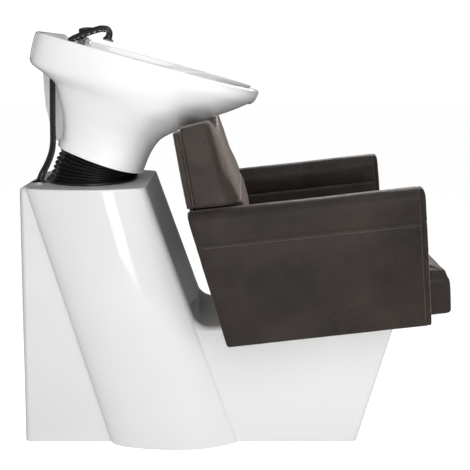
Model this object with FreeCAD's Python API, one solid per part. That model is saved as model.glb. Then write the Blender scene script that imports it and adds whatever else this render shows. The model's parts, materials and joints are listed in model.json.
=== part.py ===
"""Salon backwash unit: a moulded white base with a leaning column, a tilting glazed basin on a
bellows-covered hinge, and a fixed upholstered armchair on the plinth.

Millimetres.  +X runs from the basin to the front of the seat, +Y to the sitter's left, +Z up.
Origin: on the floor, at the middle of the outer box.
"""
import FreeCAD
import Part
import math
import os
from FreeCAD import Vector as V

os.makedirs("parts", exist_ok=True)

# ------------------------------------------------------------------ driving dimensions
# base moulding
CORE_HALF_W = 140.0          # half width of the flat-sided core
BULGE_TOP, BULGE_BOT = 30.0, 45.0        # how far the leaning column swells out of each flat side
SHELL_T = 6.0                # wall of the moulding
REAR_BOTTOM_X, REAR_TOP_X = -545.0, -513.0
COL_TOP_Z = 690.0
COL_FRONT_TOP_X = -203.0     # column front face at the top
COL_LEAN = 0.338             # mm forward per mm down, front face of the column
BULGE_L_TOP, BULGE_L_BOT = -495.0, -311.3
BULGE_PROUD = 0.15           # the swell laps over the front face by this much
BULGE_PEAK = 0.55            # where the swell is fullest, as a part of its length
FRONT_R = 22.0               # soft edge from the swell round to the front face
PLINTH_Z0, PLINTH_SLOPE = 328.56, 0.12   # plinth top plane: Z = Z0 + slope * X
PLINTH_FRONT_BOT_X, PLINTH_FRONT_LEAN = 347.0, 0.2577
CORNER_R = 48.0              # inside corner between column and plinth
EDGE_R = 15.0                # rounded long edges of the moulding
TOP_R = 4.0                  # rounded top edge of the swell

# basin tilt
TILT_REST = 17.0             # slope of the rim at rest, degrees
PIVOT = V(-275.0, 0.0, 716.0)
PIN_R = 7.0
PIN_CLEAR = 0.05
RIM_W = 294.0                # rim height above the hinge, square to the rim
LEDGE_W = 268.0              # tap ledge
LEDGE_T = 18.0
WALL = 14.0
DRAIN_U = -45.0

# outer skin of the basin: height, rear, front, half width, roundness (0 oval, 1 full outline)
OUTER = [
    (20.0, -156.0, 50.0, 100.0, 0.0),
    (40.0, -164.6, 52.7, 102.2, 0.27),
    (60.0, -172.0, 56.0, 105.0, 0.5),
    (78.0, -176.2, 61.1, 111.4, 0.6),
    (97.0, -180.0, 69.0, 121.0, 0.7),
    (120.0, -185.7, 88.0, 135.7, 0.8),
    (142.0, -192.0, 112.0, 153.0, 0.9),
    (160.0, -196.8, 134.0, 167.6, 0.95),
    (177.0, -204.0, 158.0, 183.0, 1.0),
    (196.0, -236.0, 185.0, 200.0, 1.0),
    (210.0, -264.0, 203.0, 211.0, 1.0),
    (222.0, -269.0, 221.0, 219.0, 1.0),
    (245.0, -269.0, 252.0, 230.0, 1.0),
    (270.0, -268.0, 280.0, 239.0, 1.0),
    (RIM_W, -266.0, 288.0, 244.0, 1.0),
]
RIM_LEAN, RIM_LEAN_U = 0.034, 110.0      # the rim rises a little to the front, about this place
BOWL = [
    (122.0, -82.0, -8.0, 42.0, 0.0),
    (132.0, -92.0, 30.0, 78.0, 0.0),
    (152.0, -99.0, 78.0, 118.0, 0.1),
    (184.0, -104.0, 122.0, 157.0, 0.35),
    (222.0, -109.0, 168.0, 190.0, 0.6),
    (262.0, -114.0, 218.0, 213.0, 0.85),
    (302.0, -118.0, 272.0, 226.0, 1.0),
]
FULL = [(0.0, 0.0), (0.0, 0.35), (0.01, 0.62), (0.075, 0.80), (0.25, 0.93), (0.48, 1.0),
        (0.70, 0.955), (0.87, 0.76), (0.965, 0.42), (1.0, 0.0)]
OVAL_DEG = [180, 160, 140, 122, 100, 82, 62, 42, 21, 0]

# bellows
BEL_C = V(-357.0, 0.0, COL_TOP_Z)
BEL_R = 114.0
BEL_TOP = (-50.0, 110.0, 104.0, 19.0)    # centre u, half length, half width, height w
BEL_T = 4.0

# chair
ARM_OUT, ARM_IN = 315.0, 245.0
ARM_PROFILE = [(-91.0, 660.0), (442.0, 720.0), (477.0, 398.0), (0.0, 342.0)]
ARM_TOP_R = 30.0
SEAT_HALF_W = 242.0
SEAT_FRONT_S, SEAT_REAR_S = 549.7, 62.0
SEAT_BOTTOM_T, SEAT_TOP_T = 7.0, 122.0
BACK_WING, BACK_HALF_W = 285.0, 242.0
BACK_REAR = [(-5.0, 352.0), (-93.0, 664.0), (-124.0, 846.0)]
BACK_PANEL_T = 18.0
BACK_FRONT = [(-47.0, 864.0), (-31.0, 800.0), (-14.0, 740.0), (2.0, 690.0), (34.0, 630.0), (50.0, 560.0), (56.0, 500.0),
              (58.0, 466.0)]
SADDLE_HALF, SADDLE_DEPTH = 215.0, 42.0   # hollow in the top of the back, under the basin's keel
WING_GAP = 4.0               # between the arm tops and the wings of the back

# services
HOSE_R = 4.2
WASTE_R = 20.0
SUPPLY_R = 5.0

PARTS = {}


def keep(name, shape):
    """Stores a sub-part, as one or more closed solids."""
    solids = shape.Solids
    if not solids:
        raise RuntimeError(name + " has no solid")
    shape = solids[0] if len(solids) == 1 else Part.makeCompound(solids)
    for s in solids:
        if not s.isValid() or s.Volume <= 0:
            print("warning: check", name, s.isValid(), s.Volume)
    PARTS[name] = shape
    return shape


def group(name, shapes):
    return keep(name, Part.makeCompound([x for s in shapes for x in s.Solids]))


def box(x0, x1, y0, y1, z0, z1):
    return Part.makeBox(x1 - x0, y1 - y0, z1 - z0, V(x0, y0, z0))


def cyl(p, d, r, h):
    return Part.makeCylinder(r, h, p, d)


def ring(p, d, ro, ri, h):
    return cyl(p, d, ro, h).cut(cyl(p - d * 1.0, d, ri, h + 2.0))


def prism_xz(points, y0, y1):
    """Closed polygon in the XZ plane, pushed from y0 to y1."""
    pts = [V(x, y0, z) for x, z in points]
    face = Part.Face(Part.makePolygon(pts + [pts[0]]))
    return face.extrude(V(0, y1 - y0, 0))


def offset_poly(points, d):
    """Polygon with every side moved inward by d; points run clockwise seen from -Y."""
    n = len(points)
    area = sum(points[i][0] * points[(i + 1) % n][1] - points[(i + 1) % n][0] * points[i][1] for i in range(n))
    sgn = 1.0 if area > 0 else -1.0
    lines = []
    for i in range(n):
        (x0, z0), (x1, z1) = points[i], points[(i + 1) % n]
        ln = math.hypot(x1 - x0, z1 - z0)
        nx, nz = -(z1 - z0) / ln * sgn, (x1 - x0) / ln * sgn
        lines.append((x0 + nx * d, z0 + nz * d, x1 - x0, z1 - z0))
    out = []
    for i in range(n):
        x0, z0, dx, dz = lines[i - 1]
        x1, z1, ex, ez = lines[i]
        den = dx * ez - dz * ex
        t = ((x1 - x0) * ez - (z1 - z0) * ex) / den
        out.append((x0 + dx * t, z0 + dz * t))
    return out


def tube(points, r, show=None):
    """Round rod along straight runs joined by tangent arcs, each arc as large as its runs allow."""
    pts = [V(*p) for p in points]
    edges, here, length, radii = [], pts[0], 0.0, []
    for i in range(1, len(pts) - 1):
        a, b, c = pts[i - 1], pts[i], pts[i + 1]
        d0, d1 = (b - a), (c - b)
        l0, l1 = d0.Length, d1.Length
        d0, d1 = d0.multiply(1.0 / l0), d1.multiply(1.0 / l1)
        turn = math.acos(max(-1.0, min(1.0, d0.dot(d1))))
        back = 0.45 * min(l0, l1)
        rad = back / math.tan(turn / 2.0)
        radii.append(rad)
        s, e = b - d0 * back, b + d1 * back
        mid_dir = (d1 - d0)
        mid_dir.normalize()
        centre = b + mid_dir * (rad / math.cos(turn / 2.0))
        m = centre - mid_dir * rad
        edges.append(Part.LineSegment(here, s).toShape())
        edges.append(Part.Arc(s, m, e).toShape())
        length += (s - here).Length + rad * turn
        here = e
    edges.append(Part.LineSegment(here, pts[-1]).toShape())
    length += (pts[-1] - here).Length
    path = Part.Wire(edges)
    d = pts[1] - pts[0]
    d.normalize()
    circle = Part.Wire([Part.Circle(pts[0], d, r).toShape()])
    solid = path.makePipeShell([circle], True, False)
    if show:
        print(show, "length", round(length, 1), "radii", [round(x) for x in radii],
              "volume ratio", round(solid.Volume / (math.pi * r * r * length), 4))
    return solid


# ------------------------------------------------------------------ basin frame
_c, _s = math.cos(math.radians(TILT_REST)), math.sin(math.radians(TILT_REST))


def tilt(shape):
    """Moves a shape from the basin's own frame (u forward, v, w up, hinge at 0) to its rest place."""
    shape = shape.copy()
    shape.rotate(V(0, 0, 0), V(0, 1, 0), TILT_REST)
    shape.translate(PIVOT)
    return shape


def at(u, v, w):
    return V(PIVOT.x + u * _c + w * _s, v, PIVOT.z - u * _s + w * _c)


def local(x, z):
    dx, dz = x - PIVOT.x, z - PIVOT.z
    return dx * _c - dz * _s, dx * _s + dz * _c


AXIS_W = V(_s, 0, _c)


def rim_lean(w):
    f = min(1.0, max(0.0, (w - 150.0) / 140.0))
    return RIM_LEAN * f * f * (3 - 2 * f)


def outline(w, ur, uf, hw, k, leaning=True):
    s = rim_lean(w) if leaning else 0.0
    pts = []
    for (fa, fb), deg in zip(FULL, OVAL_DEG):
        oa, ob = (1 + math.cos(math.radians(deg))) / 2, math.sin(math.radians(deg))
        a, b = oa + (fa - oa) * k, ob + (fb - ob) * k
        pts.append((ur + (uf - ur) * a, hw * b))
    loop = [V(u, v, w + s * (u - RIM_LEAN_U)) for u, v in pts] + [V(u, -v, w + s * (u - RIM_LEAN_U)) for u, v in reversed(pts[1:-1])]
    curve = Part.BSplineCurve()
    curve.interpolate(Points=loop, PeriodicFlag=True)
    return Part.Wire([curve.toShape()])


def loft(sections, grow=0.0, lift=0.0):
    return Part.makeLoft([outline(w + lift, ur - grow, uf + grow, hw + grow, k) for w, ur, uf, hw, k in sections], True, False)


# ------------------------------------------------------------------ base moulding
def plinth_top(x):
    return PLINTH_Z0 + PLINTH_SLOPE * x


def core_profile():
    z = 320.0
    for _ in range(20):
        xd = COL_FRONT_TOP_X + (COL_TOP_Z - z) * COL_LEAN
        z = plinth_top(xd)
    d = (xd, z)
    xe = (PLINTH_FRONT_BOT_X + PLINTH_FRONT_LEAN * PLINTH_Z0) / (1 - PLINTH_FRONT_LEAN * PLINTH_SLOPE)
    e = (xe, plinth_top(xe))
    return [(REAR_BOTTOM_X, 0.0), (REAR_TOP_X, COL_TOP_Z), (COL_FRONT_TOP_X, COL_TOP_Z), d, e,
            (PLINTH_FRONT_BOT_X, 0.0)]


def core(off, corner_r, edge_r):
    prof = core_profile()
    if off:
        prof = offset_poly(prof, off)
        prof[0] = (prof[0][0], -2.0)
        prof[-1] = (prof[-1][0], -2.0)
    hw = CORE_HALF_W - off
    solid = prism_xz(prof, -hw, hw)
    inner = [e for e in solid.Edges if abs(e.Vertexes[0].X - prof[3][0]) < 0.01 and abs(e.Vertexes[1].X - prof[3][0]) < 0.01]
    solid = solid.makeFillet(corner_r, inner)
    if edge_r:
        # corners across the width first, then the long edges of both flat sides
        across = [e for e in solid.Edges
                  if abs(abs(e.Vertexes[0].Y - e.Vertexes[-1].Y) - 2 * hw) < 0.01
                  and min(v.Z for v in e.Vertexes) > 100
                  and any(abs(e.Vertexes[0].X - p[0]) < 0.01 for p in (prof[1], prof[2], prof[4]))]
        solid = solid.makeFillet(edge_r * 0.6, across)
        rim = [e for e in solid.Edges
               if all(abs(abs(v.Y) - hw) < 0.01 for v in e.Vertexes)
               and abs(e.Vertexes[0].Y - e.Vertexes[-1].Y) < 0.01
               and max(v.Z for v in e.Vertexes) > 0.5]
        solid = solid.makeFillet(edge_r, rim)
    return solid


def bulge(off, z0, z1):
    """The swell on each flat side: square to it at the rear, then a long arc down to the front face."""
    wires = []
    for z in (z0, z1):
        f = z / COL_TOP_Z
        left = BULGE_L_BOT + (BULGE_L_TOP - BULGE_L_BOT) * f + off
        right = COL_FRONT_TOP_X + (COL_TOP_Z - z) * COL_LEAN + BULGE_PROUD - off
        out = BULGE_BOT + (BULGE_TOP - BULGE_BOT) * f
        hw = CORE_HALF_W - off
        mid = left + BULGE_PEAK * (right - left)
        rad = ((right - mid) ** 2 + out ** 2) / (2 * out)
        half = math.asin((right - mid) / rad) / 2
        px, py = mid + rad * math.sin(half), hw + out - rad * (1 - math.cos(half))
        near_l = Part.ArcOfEllipse(Part.Ellipse(V(mid, -hw, z), mid - left, out), math.pi, 1.5 * math.pi).toShape()
        near_r = Part.Arc(V(mid, -hw - out, z), V(px, -py, z), V(right, -hw, z)).toShape()
        a = Part.LineSegment(V(right, -hw, z), V(right, hw, z)).toShape()
        far_r = Part.Arc(V(right, hw, z), V(px, py, z), V(mid, hw + out, z)).toShape()
        far_l = Part.ArcOfEllipse(Part.Ellipse(V(mid, hw, z), mid - left, out), 0.5 * math.pi, math.pi).toShape()
        b = Part.LineSegment(V(left, hw, z), V(left, -hw, z)).toShape()
        wires.append(Part.Wire([near_l, near_r, a, far_r, far_l, b]))
    return Part.makeLoft(wires, True, True)


def bulge_rounded():
    solid = bulge(0.0, 0.0, COL_TOP_Z)
    front = [e for e in solid.Edges if abs(e.Vertexes[0].Z - e.Vertexes[-1].Z) > 100
             and all(abs(v.X - COL_FRONT_TOP_X - (COL_TOP_Z - v.Z) * COL_LEAN - BULGE_PROUD) < 0.01 for v in e.Vertexes)]
    solid = solid.makeFillet(FRONT_R, front)
    top = [e for e in solid.Edges if all(abs(v.Z - COL_TOP_Z) < 0.01 for v in e.Vertexes)]
    return solid.makeFillet(TOP_R, top)


shell = core(0.0, CORNER_R, EDGE_R).fuse(bulge_rounded()).removeSplitter()
hollow = core(SHELL_T, CORNER_R + SHELL_T, 0.0).fuse(bulge(SHELL_T, -2.0, COL_TOP_Z - SHELL_T))
shell = shell.cut(hollow)

TOP_HOLE_X, TOP_HOLE_R = -335.0, 45.0
GLAND_X, GLAND_Y = -483.0, -63.0
shell = shell.cut(cyl(V(TOP_HOLE_X, 0, COL_TOP_Z - 20), V(0, 0, 1), TOP_HOLE_R, 40))
shell = shell.cut(cyl(V(GLAND_X, GLAND_Y, COL_TOP_Z - 20), V(0, 0, 1), 16.0, 40))
BRACKET_BOLTS = [(-415.0, -62.0), (-415.0, 62.0), (-300.0, -72.0), (-300.0, 72.0)]
for bx, by in BRACKET_BOLTS:
    shell = shell.cut(cyl(V(bx, by, COL_TOP_Z - 20), V(0, 0, 1), 4.5, 40))

# rear service opening on the sloping rear face
REAR_ANG = math.degrees(math.atan2(REAR_TOP_X - REAR_BOTTOM_X, COL_TOP_Z))


def on_rear(shape):
    """x outward-in from the rear face, y across, z up along it from the floor line."""
    shape = shape.copy()
    shape.rotate(V(0, 0, 0), V(0, 1, 0), REAR_ANG)
    shape.translate(V(REAR_BOTTOM_X, 0, 0))
    return shape


PANEL_Z0, PANEL_Z1, PANEL_HW = 90.0, 440.0, 100.0
shell = shell.cut(on_rear(box(-10, 20, -PANEL_HW + 12, PANEL_HW - 12, PANEL_Z0 + 12, PANEL_Z1 - 12)))
SCREW_YZ = [(sy * (PANEL_HW - 6), z) for sy in (-1, 1) for z in (PANEL_Z0 + 6, PANEL_Z1 - 6)]
for sy, sz in SCREW_YZ:
    shell = shell.cut(on_rear(cyl(V(-5, sy, sz), V(1, 0, 0), 2.2, 20)))

# bolt holes through the plinth top for the seat
_ps = math.degrees(math.atan(PLINTH_SLOPE))


def seat(shape):
    """From the seat's own frame (s forward along the plinth top, y, t up square to it)."""
    shape = shape.copy()
    shape.rotate(V(0, 0, 0), V(0, 1, 0), -_ps)
    shape.translate(V(0, 0, PLINTH_Z0))
    return shape


_pc, _pn = math.cos(math.radians(_ps)), math.sin(math.radians(_ps))


def seat_at(s, y, t):
    return V(s * _pc - t * _pn, y, PLINTH_Z0 + s * _pn + t * _pc)


SEAT_BOLTS = [(s, y) for s in (110.0, 330.0) for y in (-60.0, 60.0)]
for s, y in SEAT_BOLTS:
    shell = shell.cut(seat(cyl(V(s, y, -30), V(0, 0, 1), 5.5, 60)))
keep("base_shell", shell)

panel = box(-3.2, -0.2, -PANEL_HW, PANEL_HW, PANEL_Z0, PANEL_Z1)
panel = panel.makeFillet(8.0, [e for e in panel.Edges if abs(e.Vertexes[0].X - e.Vertexes[1].X) > 1])
panel = panel.fuse(box(-0.3, 5.0, -PANEL_HW + 13, -PANEL_HW + 16, PANEL_Z0 + 20, PANEL_Z1 - 20))
panel = panel.fuse(box(-0.3, 5.0, PANEL_HW - 16, PANEL_HW - 13, PANEL_Z0 + 20, PANEL_Z1 - 20))
screws = []
for sy, sz in SCREW_YZ:
    panel = panel.cut(cyl(V(-5, sy, sz), V(1, 0, 0), 2.4, 10))
    scr = cyl(V(-3.6, sy, sz), V(1, 0, 0), 2.0, 14.4).fuse(cyl(V(-5.0, sy, sz), V(1, 0, 0), 4.0, 1.7))
    scr = scr.cut(box(-6, -4.4, sy - 0.5, sy + 0.5, sz - 3, sz + 3))
    screws.append(on_rear(scr))
keep("rear_access_panel", on_rear(panel))
group("access_panel_screws", screws)

# ------------------------------------------------------------------ steelwork inside the base
FRAME_T = 8.0
ANCHORS = [(x, y) for x in (-190.0, 250.0) for y in (-92.0, 92.0)]
ANCHOR_R = 6.5
frame = box(-470, 315, -122, 122, 0, FRAME_T)
frame = frame.cut(box(-440, -240, -72, 72, -1, FRAME_T + 1))
frame = frame.cut(box(40, 140, -50, 50, -1, FRAME_T + 1))
for x, y in ANCHORS:
    frame = frame.cut(cyl(V(x, y, -1), V(0, 0, 1), ANCHOR_R, FRAME_T + 2))
for y in (-118.0, 112.0):
    frame = frame.fuse(box(-470, 315, y, y + 6, FRAME_T - 1, 40))
keep("floor_frame", frame.removeSplitter())

HEAD_Z0, HEAD_Z1 = COL_TOP_Z - SHELL_T - 8.2, COL_TOP_Z - SHELL_T - 0.2
posts = []
for y in (-96.0, 96.0):
    z0, z1 = FRAME_T + 0.1, HEAD_Z0 - 0.1
    x0 = -146.0
    x1 = -338.0
    sq = Part.makePolygon([V(x0 - 20, y - 15, z0), V(x0 + 20, y - 15, z0), V(x0 + 20, y + 15, z0), V(x0 - 20, y + 15, z0), V(x0 - 20, y - 15, z0)])
    sq2 = Part.makePolygon([V(x0 - 17, y - 12, z0), V(x0 + 17, y - 12, z0), V(x0 + 17, y + 12, z0), V(x0 - 17, y + 12, z0), V(x0 - 17, y - 12, z0)])
    face = Part.Face(sq).cut(Part.Face(sq2)).Faces[0]
    posts.append(face.extrude(V(x1 - x0, 0, z1 - z0)))
group("column_posts", posts)

head = box(-450, -235, -118, 118, HEAD_Z0, HEAD_Z1)
head = head.cut(cyl(V(TOP_HOLE_X, 0, HEAD_Z0 - 5), V(0, 0, 1), 52.0, 20))
for bx, by in BRACKET_BOLTS:
    head = head.cut(cyl(V(bx, by, HEAD_Z0 - 5), V(0, 0, 1), 4.5, 20))
keep("column_head_plate", head)

# plinth: two posts and a sloping head plate that the seat bolts to
SP_T0, SP_T1 = -SHELL_T - 8.4, -SHELL_T - 0.3
plate = box(40, 385, -110, 110, SP_T0, SP_T1)
for s, y in SEAT_BOLTS:
    plate = plate.cut(cyl(V(s, y, SP_T0 - 5), V(0, 0, 1), 5.5, 30))
keep("seat_post_plate", seat(plate))
sposts = []
for x in (75.0, 300.0):
    for y in (-96.0, 96.0):
        ht = plinth_top(x - 20) - 15.5
        o = box(x - 20, x + 20, y - 15, y + 15, FRAME_T + 0.1, ht + 8)
        o = o.cut(box(x - 17, x + 17, y - 12, y + 12, 0, ht + 20))
        cutter = seat(box(-600, 600, -300, 300, SP_T0 - 0.1, 300))
        sposts.append(o.cut(cutter))
group("seat_posts", sposts)

# ------------------------------------------------------------------ tilt hinge (fixed half)
BR_Z0, BR_Z1 = COL_TOP_Z + 0.1, COL_TOP_Z + 6.1
EAR_OUT = (41.0, 49.0)      # fixed ears
EAR_IN = (28.0, 36.0)       # moving ears
bracket = box(-428, -258, -82, 82, BR_Z0, BR_Z1)
bracket = bracket.makeFillet(18.0, [e for e in bracket.Edges if abs(e.Vertexes[0].Z - e.Vertexes[1].Z) > 1])
bracket = bracket.common(cyl(V(BEL_C.x, 0, BR_Z0 - 2), V(0, 0, 1), BEL_R - BEL_T - 1.5, 20))
bracket = bracket.cut(cyl(V(TOP_HOLE_X, 0, BR_Z0 - 2), V(0, 0, 1), TOP_HOLE_R, 20))
for sy in (-1, 1):
    y0, y1 = sorted((sy * EAR_OUT[0], sy * EAR_OUT[1]))
    ear = prism_xz([(PIVOT.x - 14, BR_Z1 - 1), (PIVOT.x + 14, BR_Z1 - 1), (PIVOT.x + 12, PIVOT.z), (PIVOT.x - 12, PIVOT.z)], y0, y1)
    ear = ear.fuse(cyl(V(PIVOT.x, y0, PIVOT.z), V(0, 1, 0), 12.0, y1 - y0))
    bracket = bracket.fuse(ear)
bracket = bracket.cut(cyl(V(PIVOT.x, -100, PIVOT.z), V(0, 1, 0), PIN_R + PIN_CLEAR, 200))
for bx, by in BRACKET_BOLTS:
    bracket = bracket.cut(cyl(V(bx, by, BR_Z0 - 2), V(0, 0, 1), 4.5, 20))
keep("tilt_base_bracket", bracket.removeSplitter())

bolts = []
for bx, by in BRACKET_BOLTS:
    b = cyl(V(bx, by, HEAD_Z0 - 8), V(0, 0, 1), 4.0, BR_Z1 + 0.2 - HEAD_Z0 + 8)
    hexa = Part.Face(Part.makePolygon([V(bx + 7 * math.cos(math.radians(60 * i)), by + 7 * math.sin(math.radians(60 * i)), BR_Z1 + 0.1) for i in range(7)])).extrude(V(0, 0, 5))
    nut = Part.Face(Part.makePolygon([V(bx + 7 * math.cos(math.radians(60 * i)), by + 7 * math.sin(math.radians(60 * i)), HEAD_Z0 - 6.6) for i in range(7)])).extrude(V(0, 0, 6.4))
    bolts.append(b.fuse(hexa).fuse(nut))
group("bracket_bolts", bolts)

PIN_END = 62.0
pin = cyl(V(PIVOT.x, -PIN_END, PIVOT.z), V(0, 1, 0), PIN_R, 2 * PIN_END)
keep("tilt_hinge_pin", pin)
nuts, washers = [], []
for sy in (-1, 1):
    y0 = 49.2 if sy > 0 else -58.2
    hexa = Part.Face(Part.makePolygon([V(PIVOT.x + 11 * math.cos(math.radians(60 * i)), y0, PIVOT.z + 11 * math.sin(math.radians(60 * i))) for i in range(7)])).extrude(V(0, 9, 0))
    nuts.append(hexa.cut(cyl(V(PIVOT.x, y0 - 1, PIVOT.z), V(0, 1, 0), PIN_R + PIN_CLEAR, 12)))
    w0 = 36.3 if sy > 0 else -40.7
    washers.append(ring(V(PIVOT.x, w0, PIVOT.z), V(0, 1, 0), 12.0, PIN_R + PIN_CLEAR, 4.4))
group("hinge_clamp_nuts", nuts)
group("friction_washers", washers)

# ------------------------------------------------------------------ bellows
bu, ba, bb, bw = BEL_TOP


def bellows_loft(dr, z0, w1):
    low = Part.Wire([Part.Circle(V(BEL_C.x, 0, z0), V(0, 0, 1), BEL_R - dr).toShape()])
    e = Part.Ellipse(V(bu, 0, w1), ba - dr, bb - dr).toShape()
    high = tilt(Part.Wire([e]))
    return Part.makeLoft([low, high], True, True)


bel = bellows_loft(0.0, COL_TOP_Z + 0.3, bw)
bel = bel.fuse(cyl(V(BEL_C.x, 0, COL_TOP_Z + 0.3), V(0, 0, 1), BEL_R + 4, 6.0))
bel = bel.cut(bellows_loft(BEL_T, COL_TOP_Z - 0.5, bw + 1.0))
keep("bellows", bel)

# ------------------------------------------------------------------ basin
outer = loft(OUTER)
rib = prism_xz([(-140, 24), (-190, 24), (-202, 34), (-214, 55), (-237, 107), (-250, 153), (-256, 180), (-256, 208), (-140, 214)], -14, 14)
rib = rib.makeFillet(6.0, [e for e in rib.Edges if abs(abs(e.Vertexes[0].Y - e.Vertexes[1].Y)) < 0.1 and e.BoundBox.XMax < -180 and e.BoundBox.ZMax < 215])
bowl = loft(BOWL)
bowl_back = loft([(w, ur, uf, hw, k) for w, ur, uf, hw, k in BOWL], WALL, -WALL)
cav = Part.makeLoft([outline(w, ur + g, uf - g, hw - g, k, False) for (w, ur, uf, hw, k), g in
                     zip([(4.0, -152.0, 49.0, 99.0, 0.0), (20.0, -156.0, 50.0, 100.0, 0.0)] + OUTER[1:13] + [(LEDGE_W - LEDGE_T, -269.0, 256.0, 231.0, 1.0)],
                         [20.0, 20.0, 19.0, 17.0] + [WALL] * 11)], True, False)
room = box(-400, 400, -400, 400, 0, 100).fuse(box(-128, 40, -60, 60, 90, 112)).fuse(box(-400, -100, -185, 185, 90, LEDGE_W - LEDGE_T + 2))
cav = cav.common(room).cut(bowl_back)
# only the hollow stem and the space under the tap ledge stay open
cav = Part.makeCompound([s for s in cav.Solids if s.Volume > 2.0e5])
basin = outer.fuse(rib)
basin = basin.cut(bowl)
basin = basin.cut(cav)
# tap ledge, lower than the rim
recess = Part.makeLoft([outline(LEDGE_W, -253.0, 270.0, 229.0, 1.0, False), outline(RIM_W + 12, -253.0, 270.0, 229.0, 1.0, False)], True, True)
recess = recess.common(box(-300, -100, -300, 300, LEDGE_W - 5, RIM_W + 20))
basin = basin.cut(recess)
# neck dip in the front rim
dip = Part.makeCylinder(75.0, 200.0, V(150, 0, RIM_W + 32), V(1, 0, 0.10))
basin = basin.cut(dip)
# drain, mixer and hose holes
basin = basin.cut(cyl(V(DRAIN_U, 0, 80), V(0, 0, 1), 22.0, 60))
MIX_U, MIX_V = -190.0, 45.0
GUIDE_U, GUIDE_V = -210.0, -14.0
basin = basin.cut(cyl(V(MIX_U, MIX_V, LEDGE_W - 40), V(0, 0, 1), 15.0, 60))
basin = basin.cut(cyl(V(GUIDE_U, GUIDE_V, LEDGE_W - 30), V(0, 0, 1), 11.0, 60))
CAR_BOLTS = [(bu + 93 * math.cos(math.radians(t)), 88.5 * math.sin(math.radians(t))) for t in (35, 145, 215, 325)]
for u, v in CAR_BOLTS:
    basin = basin.cut(cyl(V(u, v, 10), V(0, 0, 1), 3.3, 24))
basin = tilt(basin)
HOSES = {"shower_hose_feed": (-4.0, -52.0, -6.5), "shower_hose_return": (5.0, -65.0, 6.5)}
for dx, y, gx in HOSES.values():
    basin = basin.cut(cyl(V(-433.0 + dx, y, 880), V(0, 0, 1), 6.5, 126))
print("basin solids", len(basin.Solids), "volume", round(basin.Volume / 1e6, 2), "litres, valid", basin.isValid())
keep("basin", basin)

# carrier under the basin, with the moving hinge ears
CAR_W0, CAR_W1 = 13.4, 17.6


def ellipse_plate(a, b, w0, w1):
    return Part.Face(Part.Wire([Part.Ellipse(V(bu, 0, w0), a, b).toShape()])).extrude(V(0, 0, w1 - w0))


car = ellipse_plate(99.5, 95.0, CAR_W0, CAR_W1).cut(cyl(V(-58.0, 0, 0), V(0, 0, 1), 43.0, 40))
for sy in (-1, 1):
    y0, y1 = sorted((sy * EAR_IN[0], sy * EAR_IN[1]))
    ear = prism_xz([(-11, 0), (11, 0), (15, CAR_W0 + 1), (-15, CAR_W0 + 1)], y0, y1)
    ear = ear.fuse(cyl(V(0, y0, 0), V(0, 1, 0), 11.0, y1 - y0))
    car = car.fuse(ear)
car = car.cut(cyl(V(0, -100, 0), V(0, 1, 0), PIN_R + PIN_CLEAR, 200))
for u, v in CAR_BOLTS:
    car = car.cut(cyl(V(u, v, 0), V(0, 0, 1), 3.5, 40))
keep("basin_carrier", tilt(car.removeSplitter()))
gasket = ellipse_plate(99.5, 95.0, CAR_W1 + 0.1, 19.8).cut(ellipse_plate(87.0, 82.0, CAR_W1 - 1, 21))
for u, v in CAR_BOLTS:
    gasket = gasket.cut(cyl(V(u, v, 0), V(0, 0, 1), 3.5, 40))
keep("carrier_gasket", tilt(gasket))
cb = []
for u, v in CAR_BOLTS:
    cb.append(tilt(cyl(V(u, v, CAR_W0 - 4.2), V(0, 0, 1), 5.5, 4.0).fuse(cyl(V(u, v, CAR_W0 - 1), V(0, 0, 1), 3.0, 19.0))))
group("carrier_bolts", cb)

# drain
BW = 122.0
flg = cyl(V(DRAIN_U, 0, BW + 0.15), V(0, 0, 1), 29.0, 2.4).fuse(cyl(V(DRAIN_U, 0, 58), V(0, 0, 1), WASTE_R, BW - 57))
flg = flg.cut(cyl(V(DRAIN_U, 0, 50), V(0, 0, 1), 17.0, 100))
keep("drain_flange", tilt(flg))
keep("drain_back_nut", tilt(ring(V(DRAIN_U, 0, 97), V(0, 0, 1), 31.0, WASTE_R + 0.05, 7.0)))
keep("drain_gasket", tilt(ring(V(DRAIN_U, 0, 104.2), V(0, 0, 1), 30.0, WASTE_R + 0.1, 3.2)))

# hair strainer: a lift-out cup in the drain
cup = cyl(V(DRAIN_U, 0, BW - 22), V(0, 0, 1), 15.5, 25.0).fuse(cyl(V(DRAIN_U, 0, BW + 2.85), V(0, 0, 1), 21.0, 2.0))
cup = cup.cut(cyl(V(DRAIN_U, 0, BW - 20), V(0, 0, 1), 13.8, 40))
for i in range(8):
    a = math.radians(45 * i)
    cup = cup.cut(cyl(V(DRAIN_U + 8.5 * math.cos(a), 8.5 * math.sin(a), BW - 25), V(0, 0, 1), 1.8, 10))
cup = cup.fuse(cyl(V(DRAIN_U, 0, BW - 20.5), V(0, 0, 1), 2.5, 26)).fuse(Part.makeSphere(4.5, V(DRAIN_U, 0, BW + 7)))
keep("hair_strainer", tilt(cup))

# ------------------------------------------------------------------ tap on the ledge
body = cyl(V(MIX_U, MIX_V, LEDGE_W + 0.2), V(0, 0, 1), 22.0, 17.0)
body = body.makeFillet(3.0, [e for e in body.Edges if abs(e.BoundBox.ZMin - (LEDGE_W + 17.2)) < 0.01])
body = body.fuse(cyl(V(MIX_U, MIX_V, LEDGE_W - 26), V(0, 0, 1), 14.0, 28))
keep("mixer_body", tilt(body))
keep("mixer_lock_nut", tilt(ring(V(MIX_U, MIX_V, LEDGE_W - LEDGE_T - 7.0), V(0, 0, 1), 21.0, 14.1, 6.6)))
CAP0 = LEDGE_W + 17.5
cap = cyl(V(MIX_U, MIX_V, CAP0), V(0, 0, 1), 19.0, 9.0)
cap = cap.makeFillet(4.0, [e for e in cap.Edges if abs(e.BoundBox.ZMin - (CAP0 + 9)) < 0.01])
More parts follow.
